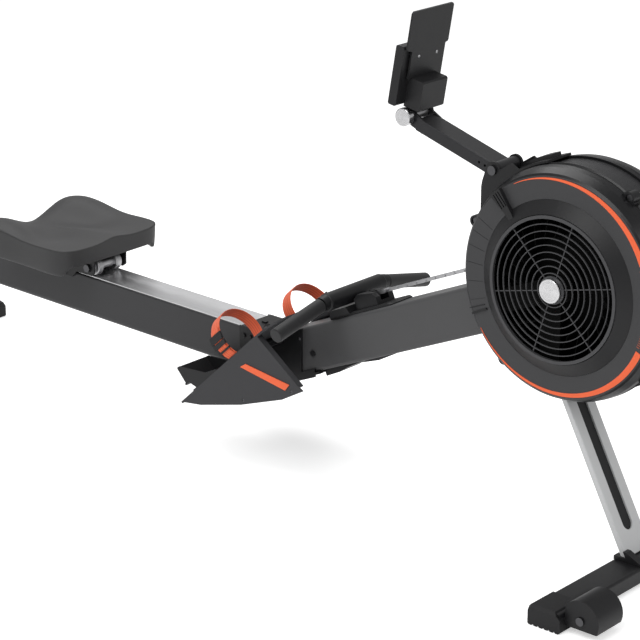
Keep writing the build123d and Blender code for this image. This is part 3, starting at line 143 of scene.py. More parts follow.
def prism(outline, low, high):
    # outline (n, 2) swept from low to high in the third axis: n side quads and two caps
    n = len(outline)
    bottom = np.column_stack((outline, np.full(n, low)))
    top = np.column_stack((outline, np.full(n, high)))
    sides = [[i, (i + 1) % n, (i + 1) % n + n, i + n] for i in range(n)]
    return np.vstack((bottom, top)), sides + [list(range(n))[::-1], list(range(n, 2 * n))]


def repeatPart(part, origins, axes):
    # the part at every origin: place = origin + sum of coordinate * axis
    points, polygons = part
    placed = origins[:, None, :] + np.einsum("pk,nkc->npc", points, axes)
    n = len(points)
    copies = [[c + i * n for c in polygon] for i in range(len(origins)) for polygon in polygons]
    return placed.reshape(-1, 3), copies


# shader groups
def newGroup(name, inputs, outputs):
    group = bpy.data.node_groups.new(name, "ShaderNodeTree")
    for label, kind, value in inputs:
        socket = group.interface.new_socket(label, in_out="INPUT", socket_type=kind)
        socket.default_value = value
    for label, kind in outputs:
        group.interface.new_socket(label, in_out="OUTPUT", socket_type=kind)
    return group, group.nodes.new("NodeGroupInput"), group.nodes.new("NodeGroupOutput")


def mathNode(tree, operation, first, second=None, third=None):
    node = tree.nodes.new("ShaderNodeMath")
    node.operation = operation
    for socket, value in zip(node.inputs, (first, second, third)):
        if value is None:
            continue
        if isinstance(value, (int, float)):
            socket.default_value = value
        else:
            tree.links.new(value, socket)
    return node.outputs[0]


def mixColor(tree, factor, first, second):
    node = tree.nodes.new("ShaderNodeMix")
    node.data_type = "RGBA"
    for socket, value in ((node.inputs[0], factor), (node.inputs[6], first), (node.inputs[7], second)):
        if isinstance(value, (int, float, tuple)):
            socket.default_value = value
        else:
            tree.links.new(value, socket)
    return node.outputs[2]


def noise(tree, vector, scale, detail=3.0, roughness=0.5):
    node = tree.nodes.new("ShaderNodeTexNoise")
    tree.links.new(vector, node.inputs["Vector"])
    if isinstance(scale, (int, float)):
        node.inputs["Scale"].default_value = scale
    else:
        tree.links.new(scale, node.inputs["Scale"])
    node.inputs["Detail"].default_value = detail
    node.inputs["Roughness"].default_value = roughness
    return node.outputs["Fac"]


surface = {"slowScale": 9.0, "blotchScale": 55.0, "speckScale": 240.0, "dustColor": (0.5, 0.48, 0.45, 1)}


def buildSurfaceGroup():
    # colour = base * (1 + variation * slow noise), lightened by dust where the face looks up
    # roughness = base + spread * slow noise, height = fine noise
    group, inn, out = newGroup(
        "paintedSurface",
        [("Color", "NodeSocketColor", (0.1, 0.1, 0.1, 1)), ("Variation", "NodeSocketFloat", 0.1),
         ("Roughness", "NodeSocketFloat", 0.4), ("Spread", "NodeSocketFloat", 0.08),
         ("Grain", "NodeSocketFloat", 900.0), ("Dust", "NodeSocketFloat", 0.02)],
        [("Color", "NodeSocketColor"), ("Roughness", "NodeSocketFloat"), ("Height", "NodeSocketFloat")])
    place = group.nodes.new("ShaderNodeTexCoord").outputs["Object"]
    slow = mathNode(group, "SUBTRACT", noise(group, place, surface["slowScale"], 4.0), 0.5)
    blotch = mathNode(group, "SUBTRACT", noise(group, place, surface["blotchScale"], 3.0), 0.5)
    both = mathNode(group, "ADD", slow, mathNode(group, "MULTIPLY", blotch, 0.5))
    gain = mathNode(group, "MULTIPLY_ADD", both, inn.outputs["Variation"], 1.0)
    scaled = group.nodes.new("ShaderNodeVectorMath")
    scaled.operation = "SCALE"
    group.links.new(inn.outputs["Color"], scaled.inputs[0])
    group.links.new(gain, scaled.inputs["Scale"])
    normal = group.nodes.new("ShaderNodeNewGeometry").outputs["Normal"]
    split = group.nodes.new("ShaderNodeSeparateXYZ")
    group.links.new(normal, split.inputs[0])
    upward = mathNode(group, "MAXIMUM", split.outputs["Z"], 0.0)
    speck = mathNode(group, "POWER", noise(group, place, surface["speckScale"], 2.0), 3.0)
    dust = mathNode(group, "MULTIPLY", mathNode(group, "MULTIPLY", upward, speck), inn.outputs["Dust"])
    dusty = mixColor(group, dust, scaled.outputs["Vector"], surface["dustColor"])
    group.links.new(dusty, out.inputs["Color"])
    rough = mathNode(group, "MULTIPLY_ADD", both, inn.outputs["Spread"], inn.outputs["Roughness"])
    group.links.new(mathNode(group, "MULTIPLY_ADD", dust, 0.4, rough), out.inputs["Roughness"])
    group.links.new(noise(group, place, inn.outputs["Grain"], 2.0, 0.6), out.inputs["Height"])
    return group


def buildBrushGroup():
    # height and streak = noise squeezed so that it runs along one axis of the object
    group, inn, out = newGroup(
        "brushedMetal",
        [("Color", "NodeSocketColor", (0.6, 0.6, 0.6, 1)), ("Stretch", "NodeSocketVector", (1, 1, 1)),
         ("Roughness", "NodeSocketFloat", 0.3), ("Scale", "NodeSocketFloat", 300.0)],
        [("Color", "NodeSocketColor"), ("Roughness", "NodeSocketFloat"), ("Height", "NodeSocketFloat")])
    place = group.nodes.new("ShaderNodeTexCoord").outputs["Object"]
    pulled = group.nodes.new("ShaderNodeVectorMath")
    pulled.operation = "MULTIPLY"
    group.links.new(place, pulled.inputs[0])
    group.links.new(inn.outputs["Stretch"], pulled.inputs[1])
    streak = noise(group, pulled.outputs["Vector"], inn.outputs["Scale"], 4.0, 0.7)
    slow = noise(group, place, 12.0, 2.0)
    shade = mathNode(group, "MULTIPLY_ADD", streak, 0.28, mathNode(group, "MULTIPLY", slow, 0.12))
    scaled = group.nodes.new("ShaderNodeVectorMath")
    scaled.operation = "SCALE"
    group.links.new(inn.outputs["Color"], scaled.inputs[0])
    group.links.new(mathNode(group, "ADD", shade, 0.8), scaled.inputs["Scale"])
    group.links.new(scaled.outputs["Vector"], out.inputs["Color"])
    rough = mathNode(group, "MULTIPLY_ADD", streak, 0.16, inn.outputs["Roughness"])
    group.links.new(rough, out.inputs["Roughness"])
    group.links.new(streak, out.inputs["Height"])
    return group


surfaceGroup = buildSurfaceGroup()
brushGroup = buildBrushGroup()


def solidColor(color, gain=1.0):
    return tuple(channel * gain for channel in color) + (1.0,)


def startMaterial(name, look):
    material = bpy.data.materials.new(name)
    material.use_nodes = True
    tree = material.node_tree
    shader = tree.nodes["Principled BSDF"]
    shader.inputs["Metallic"].default_value = look.get("metallic", 0.0)
    shader.inputs["Specular IOR Level"].default_value = look.get("specular", 0.3)
    shader.inputs["Coat Weight"].default_value = look.get("coat", 0.0)
    shader.inputs["Coat Roughness"].default_value = look.get("coatRoughness", 0.2)
    shader.inputs["Sheen Weight"].default_value = look.get("sheen", 0.0)
    shader.inputs["Sheen Roughness"].default_value = 0.5
    material.diffuse_color = solidColor(look["color"])
    return material, tree, shader


def bumpFrom(tree, shader, height, depth, strength):
    bump = tree.nodes.new("ShaderNodeBump")
    bump.inputs["Distance"].default_value = depth
    bump.inputs["Strength"].default_value = strength
    tree.links.new(height, bump.inputs["Height"])
    tree.links.new(bump.outputs["Normal"], shader.inputs["Normal"])


def surfaceMaterial(name, look):
    material, tree, shader = startMaterial(name, look)
    painted = tree.nodes.new("ShaderNodeGroup")
    painted.node_tree = surfaceGroup
    painted.inputs["Color"].default_value = solidColor(look["color"])
    painted.inputs["Variation"].default_value = look.get("variation", 0.12)
    painted.inputs["Roughness"].default_value = look["roughness"]
    painted.inputs["Grain"].default_value = look.get("grain", 900.0)
    painted.inputs["Dust"].default_value = look.get("dust", 0.02)
    tree.links.new(painted.outputs["Color"], shader.inputs["Base Color"])
    tree.links.new(painted.outputs["Roughness"], shader.inputs["Roughness"])
    bumpFrom(tree, shader, painted.outputs["Height"], look["depth"], 0.5)
    return material


def brushedMaterial(name, look):
    material, tree, shader = startMaterial(name, look)
    shader.inputs["Anisotropic"].default_value = look.get("anisotropic", 0.0)
    brush = tree.nodes.new("ShaderNodeGroup")
    brush.node_tree = brushGroup
    brush.inputs["Color"].default_value = solidColor(look["color"])
    brush.inputs["Stretch"].default_value = look["stretch"]
    brush.inputs["Roughness"].default_value = look["roughness"]
    brush.inputs["Scale"].default_value = look["scale"]
    tree.links.new(brush.outputs["Color"], shader.inputs["Base Color"])
    tree.links.new(brush.outputs["Roughness"], shader.inputs["Roughness"])
    bumpFrom(tree, shader, brush.outputs["Height"], look["depth"], 0.5)
    return material


def polar(tree, centre=hub):
    # (angle, radius, distance across) of the object's own point round an axis across the machine
    place = tree.nodes.new("ShaderNodeTexCoord").outputs["Object"]
    split = tree.nodes.new("ShaderNodeSeparateXYZ")
    tree.links.new(place, split.inputs[0])
    dx = mathNode(tree, "SUBTRACT", split.outputs["X"], float(centre[0]))
    dz = mathNode(tree, "SUBTRACT", split.outputs["Z"], float(centre[2]))
    angle = mathNode(tree, "ARCTAN2", dz, dx)
    radius = mathNode(tree, "SQRT", mathNode(tree, "ADD", mathNode(tree, "MULTIPLY", dx, dx),
                                              mathNode(tree, "MULTIPLY", dz, dz)))
    return angle, radius, split.outputs["Y"]


def turnedMaterial(name, look, centre):
    # lathe marks: height and roughness = noise of the radius alone
    material, tree, shader = startMaterial(name, look)
    radius = polar(tree, centre)[1]
    line = tree.nodes.new("ShaderNodeCombineXYZ")
    tree.links.new(radius, line.inputs["X"])
    groove = noise(tree, line.outputs[0], look["scale"], 4.0, 0.7)
    low = solidColor(look["color"], 0.8)
    tree.links.new(mixColor(tree, groove, low, solidColor(look["color"])), shader.inputs["Base Color"])
    tree.links.new(mathNode(tree, "MULTIPLY_ADD", groove, 0.1, look["roughness"]), shader.inputs["Roughness"])
    bumpFrom(tree, shader, groove, look["depth"], 1.0)
    return material


def bandMaterial(name, look):
    # rows of round holes: a hole where cos(angle * holes) * cos(y * rows) is high, every other row shifted
    material, tree, shader = startMaterial(name, look)
    angle, _, y = polar(tree)
    first = mathNode(tree, "COSINE", mathNode(tree, "MULTIPLY", angle, look["holes"]))
    second = mathNode(tree, "COSINE", mathNode(tree, "MULTIPLY", y, look["rows"]))
    dots = mathNode(tree, "MULTIPLY", first, second)
    steep = mathNode(tree, "MULTIPLY", mathNode(tree, "SUBTRACT", dots, look["holeEdge"]),
                     look["holeSteep"])
    inside = mathNode(tree, "SMOOTH_MIN", steep, 1.0, 0.2)
    hole = mathNode(tree, "MAXIMUM", inside, 0.0)
    place = tree.nodes.new("ShaderNodeTexCoord").outputs["Object"]
    streak = noise(tree, place, 60.0, 3.0)
    solid = mixColor(tree, streak, solidColor(look["color"]), solidColor(look["color"], 1.5))
    tree.links.new(mixColor(tree, hole, solid, solidColor(look["holeColor"])), shader.inputs["Base Color"])
    tree.links.new(mathNode(tree, "MULTIPLY_ADD", hole, 0.4, look["roughness"]), shader.inputs["Roughness"])
    bumpFrom(tree, shader, mathNode(tree, "MULTIPLY", hole, -1.0), look["depth"], 1.0)
    return material


def shellMaterial(name, look):
    # face colour inside the edge radius, edge colour outside it, mixed over a millimetre
    material, tree, shader = startMaterial(name, look)
    radius = polar(tree)[1]
    outside = mathNode(tree, "MULTIPLY", mathNode(tree, "SUBTRACT", radius, look["edgeRadius"]), 1000.0)
    outside = mathNode(tree, "MINIMUM", mathNode(tree, "MAXIMUM", outside, 0.0), 1.0)
    painted = tree.nodes.new("ShaderNodeGroup")
    painted.node_tree = surfaceGroup
    painted.inputs["Variation"].default_value = look["variation"]
    painted.inputs["Roughness"].default_value = look["roughness"]
    painted.inputs["Grain"].default_value = look["grain"]
    tree.links.new(mixColor(tree, outside, solidColor(look["color"]), solidColor(look["edgeColor"])),
                   painted.inputs["Color"])
    tree.links.new(painted.outputs["Color"], shader.inputs["Base Color"])
    tree.links.new(mathNode(tree, "MULTIPLY_ADD", outside, -0.12, painted.outputs["Roughness"]),
                   shader.inputs["Roughness"])
    bumpFrom(tree, shader, painted.outputs["Height"], look["depth"], 0.5)
    return material


def webbingMaterial(name, look):
    # twill: ribs along and across the strap from its own UV, in metres
    material, tree, shader = startMaterial(name, look)
    uv = tree.nodes.new("ShaderNodeUVMap")
    uv.uv_map = "along"
    split = tree.nodes.new("ShaderNodeSeparateXYZ")
    tree.links.new(uv.outputs["UV"], split.inputs[0])
    run = mathNode(tree, "MULTIPLY", split.outputs["X"], look["ribs"])
    side = mathNode(tree, "MULTIPLY", split.outputs["Y"], look["ribs"] * 0.8)
    weave = mathNode(tree, "MULTIPLY", mathNode(tree, "SINE", mathNode(tree, "ADD", run, side)),
                     mathNode(tree, "SINE", mathNode(tree, "SUBTRACT", run, side)))
    place = tree.nodes.new("ShaderNodeTexCoord").outputs["Object"]
    fuzz = noise(tree, place, 1400.0, 2.0)
    shade = mathNode(tree, "MULTIPLY_ADD", weave, 0.5, mathNode(tree, "MULTIPLY", fuzz, 0.6))
    dark = solidColor(look["color"], 0.6)
    tree.links.new(mixColor(tree, mathNode(tree, "ADD", shade, 0.3), dark, solidColor(look["color"])),
                   shader.inputs["Base Color"])
    tree.links.new(mathNode(tree, "MULTIPLY_ADD", fuzz, 0.15, look["roughness"]), shader.inputs["Roughness"])
    bumpFrom(tree, shader, shade, look["depth"], 0.7)
    return material


looks = {
    "beamPaint": {"color": (0.066, 0.066, 0.068), "roughness": 0.42, "grain": 1500.0, "depth": 0.00006},
    "railPaint": {"color": (0.034, 0.034, 0.036), "roughness": 0.42, "grain": 1500.0, "depth": 0.00006},
    "blackMetal": {"color": (0.010, 0.010, 0.011), "roughness": 0.4, "grain": 1500.0, "depth": 0.00006},
    "legSilver": {"color": (0.56, 0.565, 0.57), "roughness": 0.36, "metallic": 0.3, "grain": 2000.0,
                  "variation": 0.06, "depth": 0.00003},
    "ringPlastic": {"color": (0.012, 0.012, 0.013), "roughness": 0.4, "grain": 1800.0, "depth": 0.00008},
    "blackPlastic": {"color": (0.009, 0.009, 0.010), "roughness": 0.42, "grain": 1200.0, "depth": 0.0001},
    "boardPlastic": {"color": (0.036, 0.036, 0.039), "roughness": 0.5, "grain": 1000.0, "depth": 0.00014},
    "consolePlastic": {"color": (0.013, 0.013, 0.014), "roughness": 0.45, "grain": 1300.0, "depth": 0.0001},
    "grilleMetal": {"color": (0.055, 0.055, 0.058), "roughness": 0.35, "grain": 900.0, "depth": 0.00003},
    # parts inside the fan housing: near-black and almost without reflection, partly the fan's own black and
    # partly painted shade of the closed housing's inside, also laid on the fork, axle, sprocket and bearings
    "fanBlackAndShade": {"color": (0.003, 0.003, 0.003), "roughness": 0.7, "specular": 0.08, "grain": 900.0,
                 "depth": 0.00005, "dust": 0.0},
    "armMetal": {"color": (0.030, 0.030, 0.032), "roughness": 0.38, "metallic": 0.4, "grain": 1600.0,
                 "depth": 0.00004},
    "screenGlass": {"color": (0.010, 0.012, 0.013), "roughness": 0.08, "coat": 1.0, "coatRoughness": 0.03,
                    "depth": 0.00001, "dust": 0.01},
    "orangePaint": {"color": (0.86, 0.135, 0.045), "roughness": 0.4, "variation": 0.05, "grain": 1200.0,
                    "depth": 0.00004, "dust": 0.0},
    "orangeDim": {"color": (0.40, 0.09, 0.045), "roughness": 0.45, "variation": 0.1, "depth": 0.00004,
                  "dust": 0.0},
    "gripFoam": {"color": (0.013, 0.013, 0.014), "roughness": 0.55, "grain": 700.0, "depth": 0.00022,
                 "sheen": 0.1},
    "seatSkin": {"color": (0.034, 0.034, 0.035), "roughness": 0.5, "grain": 650.0, "depth": 0.00022,
                 "sheen": 0.06, "variation": 0.1},
    "padRubber": {"color": (0.010, 0.010, 0.011), "roughness": 0.5, "grain": 600.0, "depth": 0.0002},
    "cordElastic": {"color": (0.03, 0.03, 0.032), "roughness": 0.7, "grain": 500.0, "depth": 0.0004},
    "rollerPlastic": {"color": (0.42, 0.42, 0.41), "roughness": 0.35, "grain": 900.0, "depth": 0.00005},
    "boltSteel": {"color": (0.10, 0.10, 0.105), "roughness": 0.35, "metallic": 1.0, "depth": 0.00003,
                  "dust": 0.0},
    "chainSteel": {"color": (0.40, 0.40, 0.41), "roughness": 0.3, "metallic": 1.0, "depth": 0.00002,
                   "dust": 0.0},
    "lineDark": {"color": (0.012, 0.012, 0.013), "roughness": 0.5, "depth": 0.00003, "dust": 0.0},
}
brushedLooks = {
    "trackSteel": {"color": (0.74, 0.74, 0.75), "roughness": 0.27, "metallic": 1.0,
                   "stretch": (0.02, 1.0, 1.0), "scale": 900.0, "depth": 0.00006, "anisotropic": 0.3},
    "steel": {"color": (0.46, 0.46, 0.47), "roughness": 0.3, "metallic": 1.0, "stretch": (1.0, 0.05, 1.0),
              "scale": 600.0, "depth": 0.00006},
}
materials = {name: surfaceMaterial(name, look) for name, look in looks.items()}
materials.update({name: brushedMaterial(name, look) for name, look in brushedLooks.items()})
materials["bandMesh"] = bandMaterial("bandMesh", {
    "color": (0.045, 0.045, 0.047), "holeColor": (0.012, 0.012, 0.013), "holeEdge": 0.35, "holeSteep": 9.0,
    "roughness": 0.36, "holes": 420.0, "rows": 1900.0, "metallic": 0.5, "depth": 0.0006})
turned = {"color": (0.72, 0.72, 0.73), "roughness": 0.18, "metallic": 1.0, "scale": 1600.0, "depth": 0.0005}
materials["hubSteel"] = turnedMaterial("hubSteel", turned, hub)
materials["capSteel"] = turnedMaterial("capSteel", turned, tiltAxis)
materials["shellPlastic"] = shellMaterial("shellPlastic", {
    "color": (0.042, 0.042, 0.044), "edgeColor": (0.008, 0.008, 0.009), "edgeRadius": 0.2045,
    "roughness": 0.44, "variation": 0.1, "grain": 1800.0, "depth": 0.00008})
materials["webbing"] = webbingMaterial("webbing", {
    "color": (0.88, 0.15, 0.06), "roughness": 0.7, "ribs": 2600.0, "sheen": 0.15, "depth": 0.0003})
print("materials built:", len(materials))

nodeMaterials = {
    "beamPaint": ("main_beam",),
    "railPaint": ("rail",),
    "blackMetal": ("leg_bracket", "beam_saddle", "monitor_bracket", "rail_coupler", "rear_leg",
                   "rear_foot", "front_foot", "seat_carriage", "return_block"),
    "legSilver": ("front_leg",),
    "shellPlastic": ("shell_right", "shell_left"),
    "ringPlastic": ("damper_ring",),
    "blackPlastic": ("leg_inlay", "wheel_fenders", "handle_cradle", "strap_buckles", "handle_bar",
                     "lock_knob", "heel_cup_right", "heel_cup_left", "rail_end_cap"),
    "padRubber": ("front_foot_caps", "rear_foot_caps", "transport_wheel_right", "transport_wheel_left"),
    "boardPlastic": ("footboard_right", "footboard_left"),
    "consolePlastic": ("console",),
    "grilleMetal": ("grille_right", "grille_left"),
    # painted shade: the parts inside the fan housing take the near-black, dull look that stands in for the
    # housing's dark inside
    "fanBlackAndShade": ("fan_wheel", "frame_fork", "flywheel_axle", "drive_sprocket", "fan_bearings"),
    "armMetal": ("monitor_arm",),
    "screenGlass": ("console_screen",),
    "orangePaint": ("accent_arcs", "pod_stripes", "console_button"),
    "gripFoam": ("handle_grips",),
    "cordElastic": ("bungee_cord",),
    "rollerPlastic": ("return_pulley",),
    "hubSteel": ("hub_caps",),
    "capSteel": ("tilt_bolt",),
    "chainSteel": ("chain_shackle",),
    "trackSteel": ("rail_track",),
    "boltSteel": ("hinge_pin", "frame_bolts", "seat_axles"),
    "bandMesh": ("screen_band",),
    "steel": ("front_rollers", "rear_rollers"),
}
for finish, names in nodeMaterials.items():
    for node in names:
        nodes[node].data.materials.clear()
        nodes[node].data.materials.append(materials[finish])

# seat pad
seat = {"length": 0.274, "width": 0.300, "back": 0.008, "corner": 7.0, "frontRim": 0.036, "horn": 0.020,
        "hornAt": 0.74, "valley": 0.012, "dish": 0.015, "crest": 0.007, "rearNotch": 0.04, "hang": 0.0181,
        "sole": 0.0461, "fall": 0.009, "round": 0.004, "waist": 0.02, "angles": 288, "rings": 60}


def seatTop(p, y):
    # height = rim + rear horns - two dishes + a crest between the thighs, p forward and y across from -1 to 1
    ramp = np.clip((0.3 - p) / 1.0, 0, 1)
    rear = ramp ** 2 * (3 - 2 * ramp)
    fall = seat["fall"] * np.clip((-p - 0.70) / 0.30, 0, 1) ** 2
    horns = seat["horn"] * rear * np.exp(-(((np.abs(y) - seat["hornAt"]) / 0.36) ** 2))
    horns = horns - seat["valley"] * rear * np.exp(-((y / 0.34) ** 2)) - fall
    dishes = seat["dish"] * np.exp(-(((p + 0.05) / 0.52) ** 2) - (((np.abs(y) - 0.40) / 0.34) ** 2))
    crest = seat["crest"] * np.exp(-((y / 0.24) ** 2)) * np.clip((p + 0.2) / 1.0, 0, 1)
    corner = seat["round"] * np.abs(y) ** 4 * np.clip(p, 0, 1)
    return seat["frontRim"] + horns - dishes * (1 - np.maximum(np.abs(p), np.abs(y)) ** 6) + crest + corner


def buildSeat():
    # rings of a superellipse |x|^n + |y|^n = 1, with a notch behind; they run from the middle of the sole
    # round the hanging wall and over the rim to the middle of the top
    low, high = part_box("seat_pad")
    theta = np.linspace(0, 2 * np.pi, seat["angles"], endpoint=False)
    n = seat["corner"]
    reach = (np.abs(np.cos(theta)) ** n + np.abs(np.sin(theta)) ** n) ** (-1 / n)
    p = reach * np.cos(theta)
    y = reach * np.sin(theta)
    p = p + seat["rearNotch"] * np.exp(-((y / 0.22) ** 2)) * (p < 0)
    y = y * (1 - seat["waist"] * np.exp(-((p / 0.5) ** 2)))
    rim = seatTop(p, y)
    topScales = np.linspace(0.965, 0.02, seat["rings"])
    profile = [(0.03, 0.0, 0), (0.5, 0.0, 0), (0.9, 0.0, 0), (0.925, -0.001, 0), (0.932, -0.014, 0),
               (0.942, -0.0178, 0), (0.968, -seat["hang"], 0), (0.979, -0.0168, 0), (0.985, -0.012, 0),
               (0.990, 0.0, 0), (0.994, 0.012, 0), (0.9965, -0.010, 1), (0.9985, -0.005, 1),
               (1.0, -0.0025, 1), (0.9985, -0.0009, 1), (0.9945, -0.0004, 1), (0.9915, -0.0012, 1),
               (0.988, -0.0006, 1), (0.982, 0.0, 1)]
    # the wall hangs below the sole on both sides and not in front or behind
    hang = np.clip((np.abs(y) - 0.82) / 0.12, 0, 1)
    hang = hang ** 2 * (3 - 2 * hang)
    rings = []
    for scale, lift, onRim in profile:
        height = rim + lift if onRim else lift * hang * (lift < 0) + max(lift, 0.0)
        rings.append(np.stack((p * scale, y * scale, height), axis=-1))
    for scale in topScales:
        rings.append(np.stack((p * scale, y * scale, seatTop(p * scale, y * scale)), axis=-1))
    grid = np.array(rings)
    centre = np.array(((low.x + high.x) / 2, 0, 0))
    along = -(centre[0] - joint[0]) / np.cos(railSlope) + seat["back"]
    base = joint + railBack * along + railUp * seat["sole"]
    forward, sideways = grid[..., :1] * seat["length"] / 2, grid[..., 1:2] * seat["width"] / 2
    points = base - railBack * forward + across * sideways + railUp * grid[..., 2:]
    mesh = tidyMesh(gridMesh("seatPad", points), sharpAngle=75)
    piece = addPiece("seatPad", mesh, materials["seatSkin"], "seat", ("seat_pad",))
    return piece


buildSeat()
print("seat pad built")

# foot straps
strap = {"width": 0.030, "thick": 0.0018, "middle": 0.106, "lift": 0.036, "radius": 0.0531, "station": 0.196,
         "turns": 96, "tuck": 0.995}
tail = {"first": 30.0, "last": -38.0, "turns": 40, "length": 0.065, "narrow": 0.86, "gap": 0.0021,
        "wave": 0.0008}
buckle = {"first": 16.0, "last": -20.0, "bars": 4, "length": 0.037, "width": 0.0042, "foot": 0.0012,
          "height": 0.0056}


def strapRing(width, thick, count=12):
    # rounded rectangle round the strap's own line, as offsets across and out
    phi = np.linspace(0, 2 * np.pi, count * 2, endpoint=False)
    c, s = np.cos(phi), np.sin(phi)
    return np.sign(c) * np.abs(c) ** 0.25 * width / 2, np.sign(s) * np.abs(s) ** 0.6 * thick / 2


def sweepStrap(path, outward, sideways, width, thick):
    # each ring = path + across * sideways + out * outward
    a, b = strapRing(width, thick)
    return path[:, None, :] + a[None, :, None] * sideways[:, None, :] + b[None, :, None] * outward[:, None, :]


def buildStraps():
    for side, label in ((-1, "right"), (1, "left")):
        # arch = centre + radius * (cos, sin) from one slot of the footboard over the foot to the other
        first = -np.arcsin(strap["lift"] / strap["radius"]) * strap["tuck"]
        turn = np.linspace(np.pi - first, first, strap["turns"])
        centre = heel + boardUp * strap["station"] + boardOut * strap["lift"]
        centre = centre + across * side * strap["middle"]
        out = np.cos(turn)[:, None] * across * side + np.sin(turn)[:, None] * boardOut
        path = centre + out * strap["radius"]
        along = boardUp * np.ones((len(turn), 1))
        grid = sweepStrap(path, out, along, strap["width"], strap["thick"])
        length = strap["radius"] * abs(turn[-1] - turn[0])
        size = (length, strap["width"] * 2)
        mesh = tidyMesh(gridMesh("footStrap", grid, size))
        addPiece("footStrap_" + label, mesh, materials["webbing"], "frame",
                 ("foot_strap_" + label,))
        # the strap's end doubles back under the buckle bars and hangs a little proud
        turn = np.linspace(rad(tail["first"]), rad(tail["last"]), tail["turns"])
        lift = tail["gap"] + tail["wave"] * np.sin(np.linspace(0, np.pi * 4, tail["turns"])) ** 2
        out = np.cos(turn)[:, None] * across * side + np.sin(turn)[:, None] * boardOut
        path = centre + out * (strap["radius"] + lift[:, None])
        along = boardUp * np.ones((len(turn), 1))
        grid = sweepStrap(path, out, along, strap["width"] * tail["narrow"], strap["thick"])
        size = (tail["length"], strap["width"] * 2)
        mesh = tidyMesh(gridMesh("strapTail", grid, size))
        addPiece("strapTail_" + label, mesh, materials["webbing"], "frame")
        # ladder bars at equal steps down the strap's outer side
        turn = np.linspace(rad(buckle["first"]), rad(buckle["last"]), buckle["bars"])
        out = np.cos(turn)[:, None] * across * side + np.sin(turn)[:, None] * boardOut
        down = np.sin(turn)[:, None] * across * side - np.cos(turn)[:, None] * boardOut
        half, deep = buckle["length"] / 2, buckle["width"] / 2
        outline = np.array(((-half, -deep), (half, -deep), (half, deep), (-half, deep)))
        bar = prism(outline, buckle["foot"], buckle["height"])
        axes = np.stack((np.broadcast_to(boardUp, out.shape), down, out), axis=1)
        mesh = joinMeshes("buckleBars", [repeatPart(bar, centre + out * strap["radius"], axes)])
        addPiece("buckleBars_" + label, tidyMesh(mesh, smooth=False), materials["blackPlastic"], "frame")


buildStraps()
print("straps built")

# drive chain
chain = {"pitch": 0.0127, "plateHalf": 0.0034, "thick": 0.0009, "inner": 0.0022, "outer": 0.0033,
         "roller": 0.0022, "rollerHalf": 0.0037, "offset": 0.0663, "start": 0.464, "returnSlope": 6.5,
         "pulleyAlong": 0.700, "pulleyRadius": 0.018, "anchor": (0.236, -0.047)}


def linkParts():
    # plate = a bar with round ends, one pitch long; roller = a short drum
    phi = np.linspace(-np.pi / 2, np.pi / 2, 6)
    right = np.column_stack((np.cos(phi), np.sin(phi))) * chain["plateHalf"] + (chain["pitch"] / 2, 0)
    left = -right
    outline = np.vstack((right, left))
    plates = []
    for offset in (chain["inner"], chain["outer"]):
        pair = [prism(outline, sign * offset - chain["thick"] / 2, sign * offset + chain["thick"] / 2)
                for sign in (-1, 1)]
        n = len(pair[0][0])
        second = [[corner + n for corner in face] for face in pair[1][1]]
        plates.append((np.vstack((pair[0][0], pair[1][0])), pair[0][1] + second))
    psi = np.linspace(0, 2 * np.pi, 10, endpoint=False)
    drum = prism(np.column_stack((np.cos(psi), np.sin(psi))) * chain["roller"],
                 -chain["rollerHalf"], chain["rollerHalf"])
    return plates, drum


def chainMesh(name, points):
    # pins at equal steps along the line; every other link has outer plates
    steps = np.linalg.norm(np.diff(points, axis=0), axis=1)
    reach = np.concatenate(([0], np.cumsum(steps)))
    count = int(round(reach[-1] / chain["pitch"]))
    at = np.linspace(0, reach[-1], count + 1)
    pins = np.stack([np.interp(at, reach, points[:, k]) for k in range(3)], axis=-1)
    along = np.diff(pins, axis=0)
    stretch = np.linalg.norm(along, axis=1, keepdims=True) / chain["pitch"]
    along = along / np.linalg.norm(along, axis=1, keepdims=True)
    upward = np.cross(along, across)
    axes = np.stack((along * stretch, upward, np.broadcast_to(across, along.shape)), axis=1)
    middles = (pins[1:] + pins[:-1]) / 2
    plates, drum = linkParts()
    parts = [repeatPart(plates[0], middles[0::2], axes[0::2]),
             repeatPart(plates[1], middles[1::2], axes[1::2]), repeatPart(drum, pins[:-1], axes)]
    return tidyMesh(joinMeshes(name, parts), sharpAngle=35)


def beamPlace(u, w):
    # hub + u rearward along the beam + w square to it
    return hub + beamBack * u + beamUp * w


def buildChain():
    run = np.array((beamPlace(0.0, chain["offset"]), beamPlace(chain["start"], chain["offset"])))
    piece = addPiece("chainRun", chainMesh("chainRun", run), materials["chainSteel"], None,
                     ("drive_chain",))
    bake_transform(piece)
    # the rest goes round the sprocket, down the beam, round the sliding pulley and back to its anchor
    slope = rad(chain["returnSlope"])
    pulleyU, pulleyR, anchor = chain["pulleyAlong"], chain["pulleyRadius"], chain["anchor"]
    pulleyW = (pulleyU * np.sin(slope) - chain["offset"]) / np.cos(slope) - pulleyR / np.cos(slope)
    phi = np.linspace(np.pi / 2, 3 * np.pi / 2 + slope, 40)
    wrap = np.stack((np.cos(phi), np.sin(phi)), axis=-1) * chain["offset"]
    gap = np.hypot(anchor[0] - pulleyU, anchor[1] - pulleyW)
    back = np.arctan2(anchor[1] - pulleyW, anchor[0] - pulleyU) + 2 * np.pi
    leave = back + np.pi / 2 - np.arcsin(pulleyR / gap) - 2 * np.pi
    phi = np.linspace(np.pi / 2 + slope, leave, 24)
    turn = np.stack((pulleyU + pulleyR * np.cos(phi), pulleyW + pulleyR * np.sin(phi)), axis=-1)
    flat = np.vstack((wrap, turn, [anchor]))
    line = beamPlace(flat[:, :1], flat[:, 1:])
    addPiece("chainReturn", chainMesh("chainReturn", line), materials["chainSteel"], "frame")


buildChain()
print("chain built")

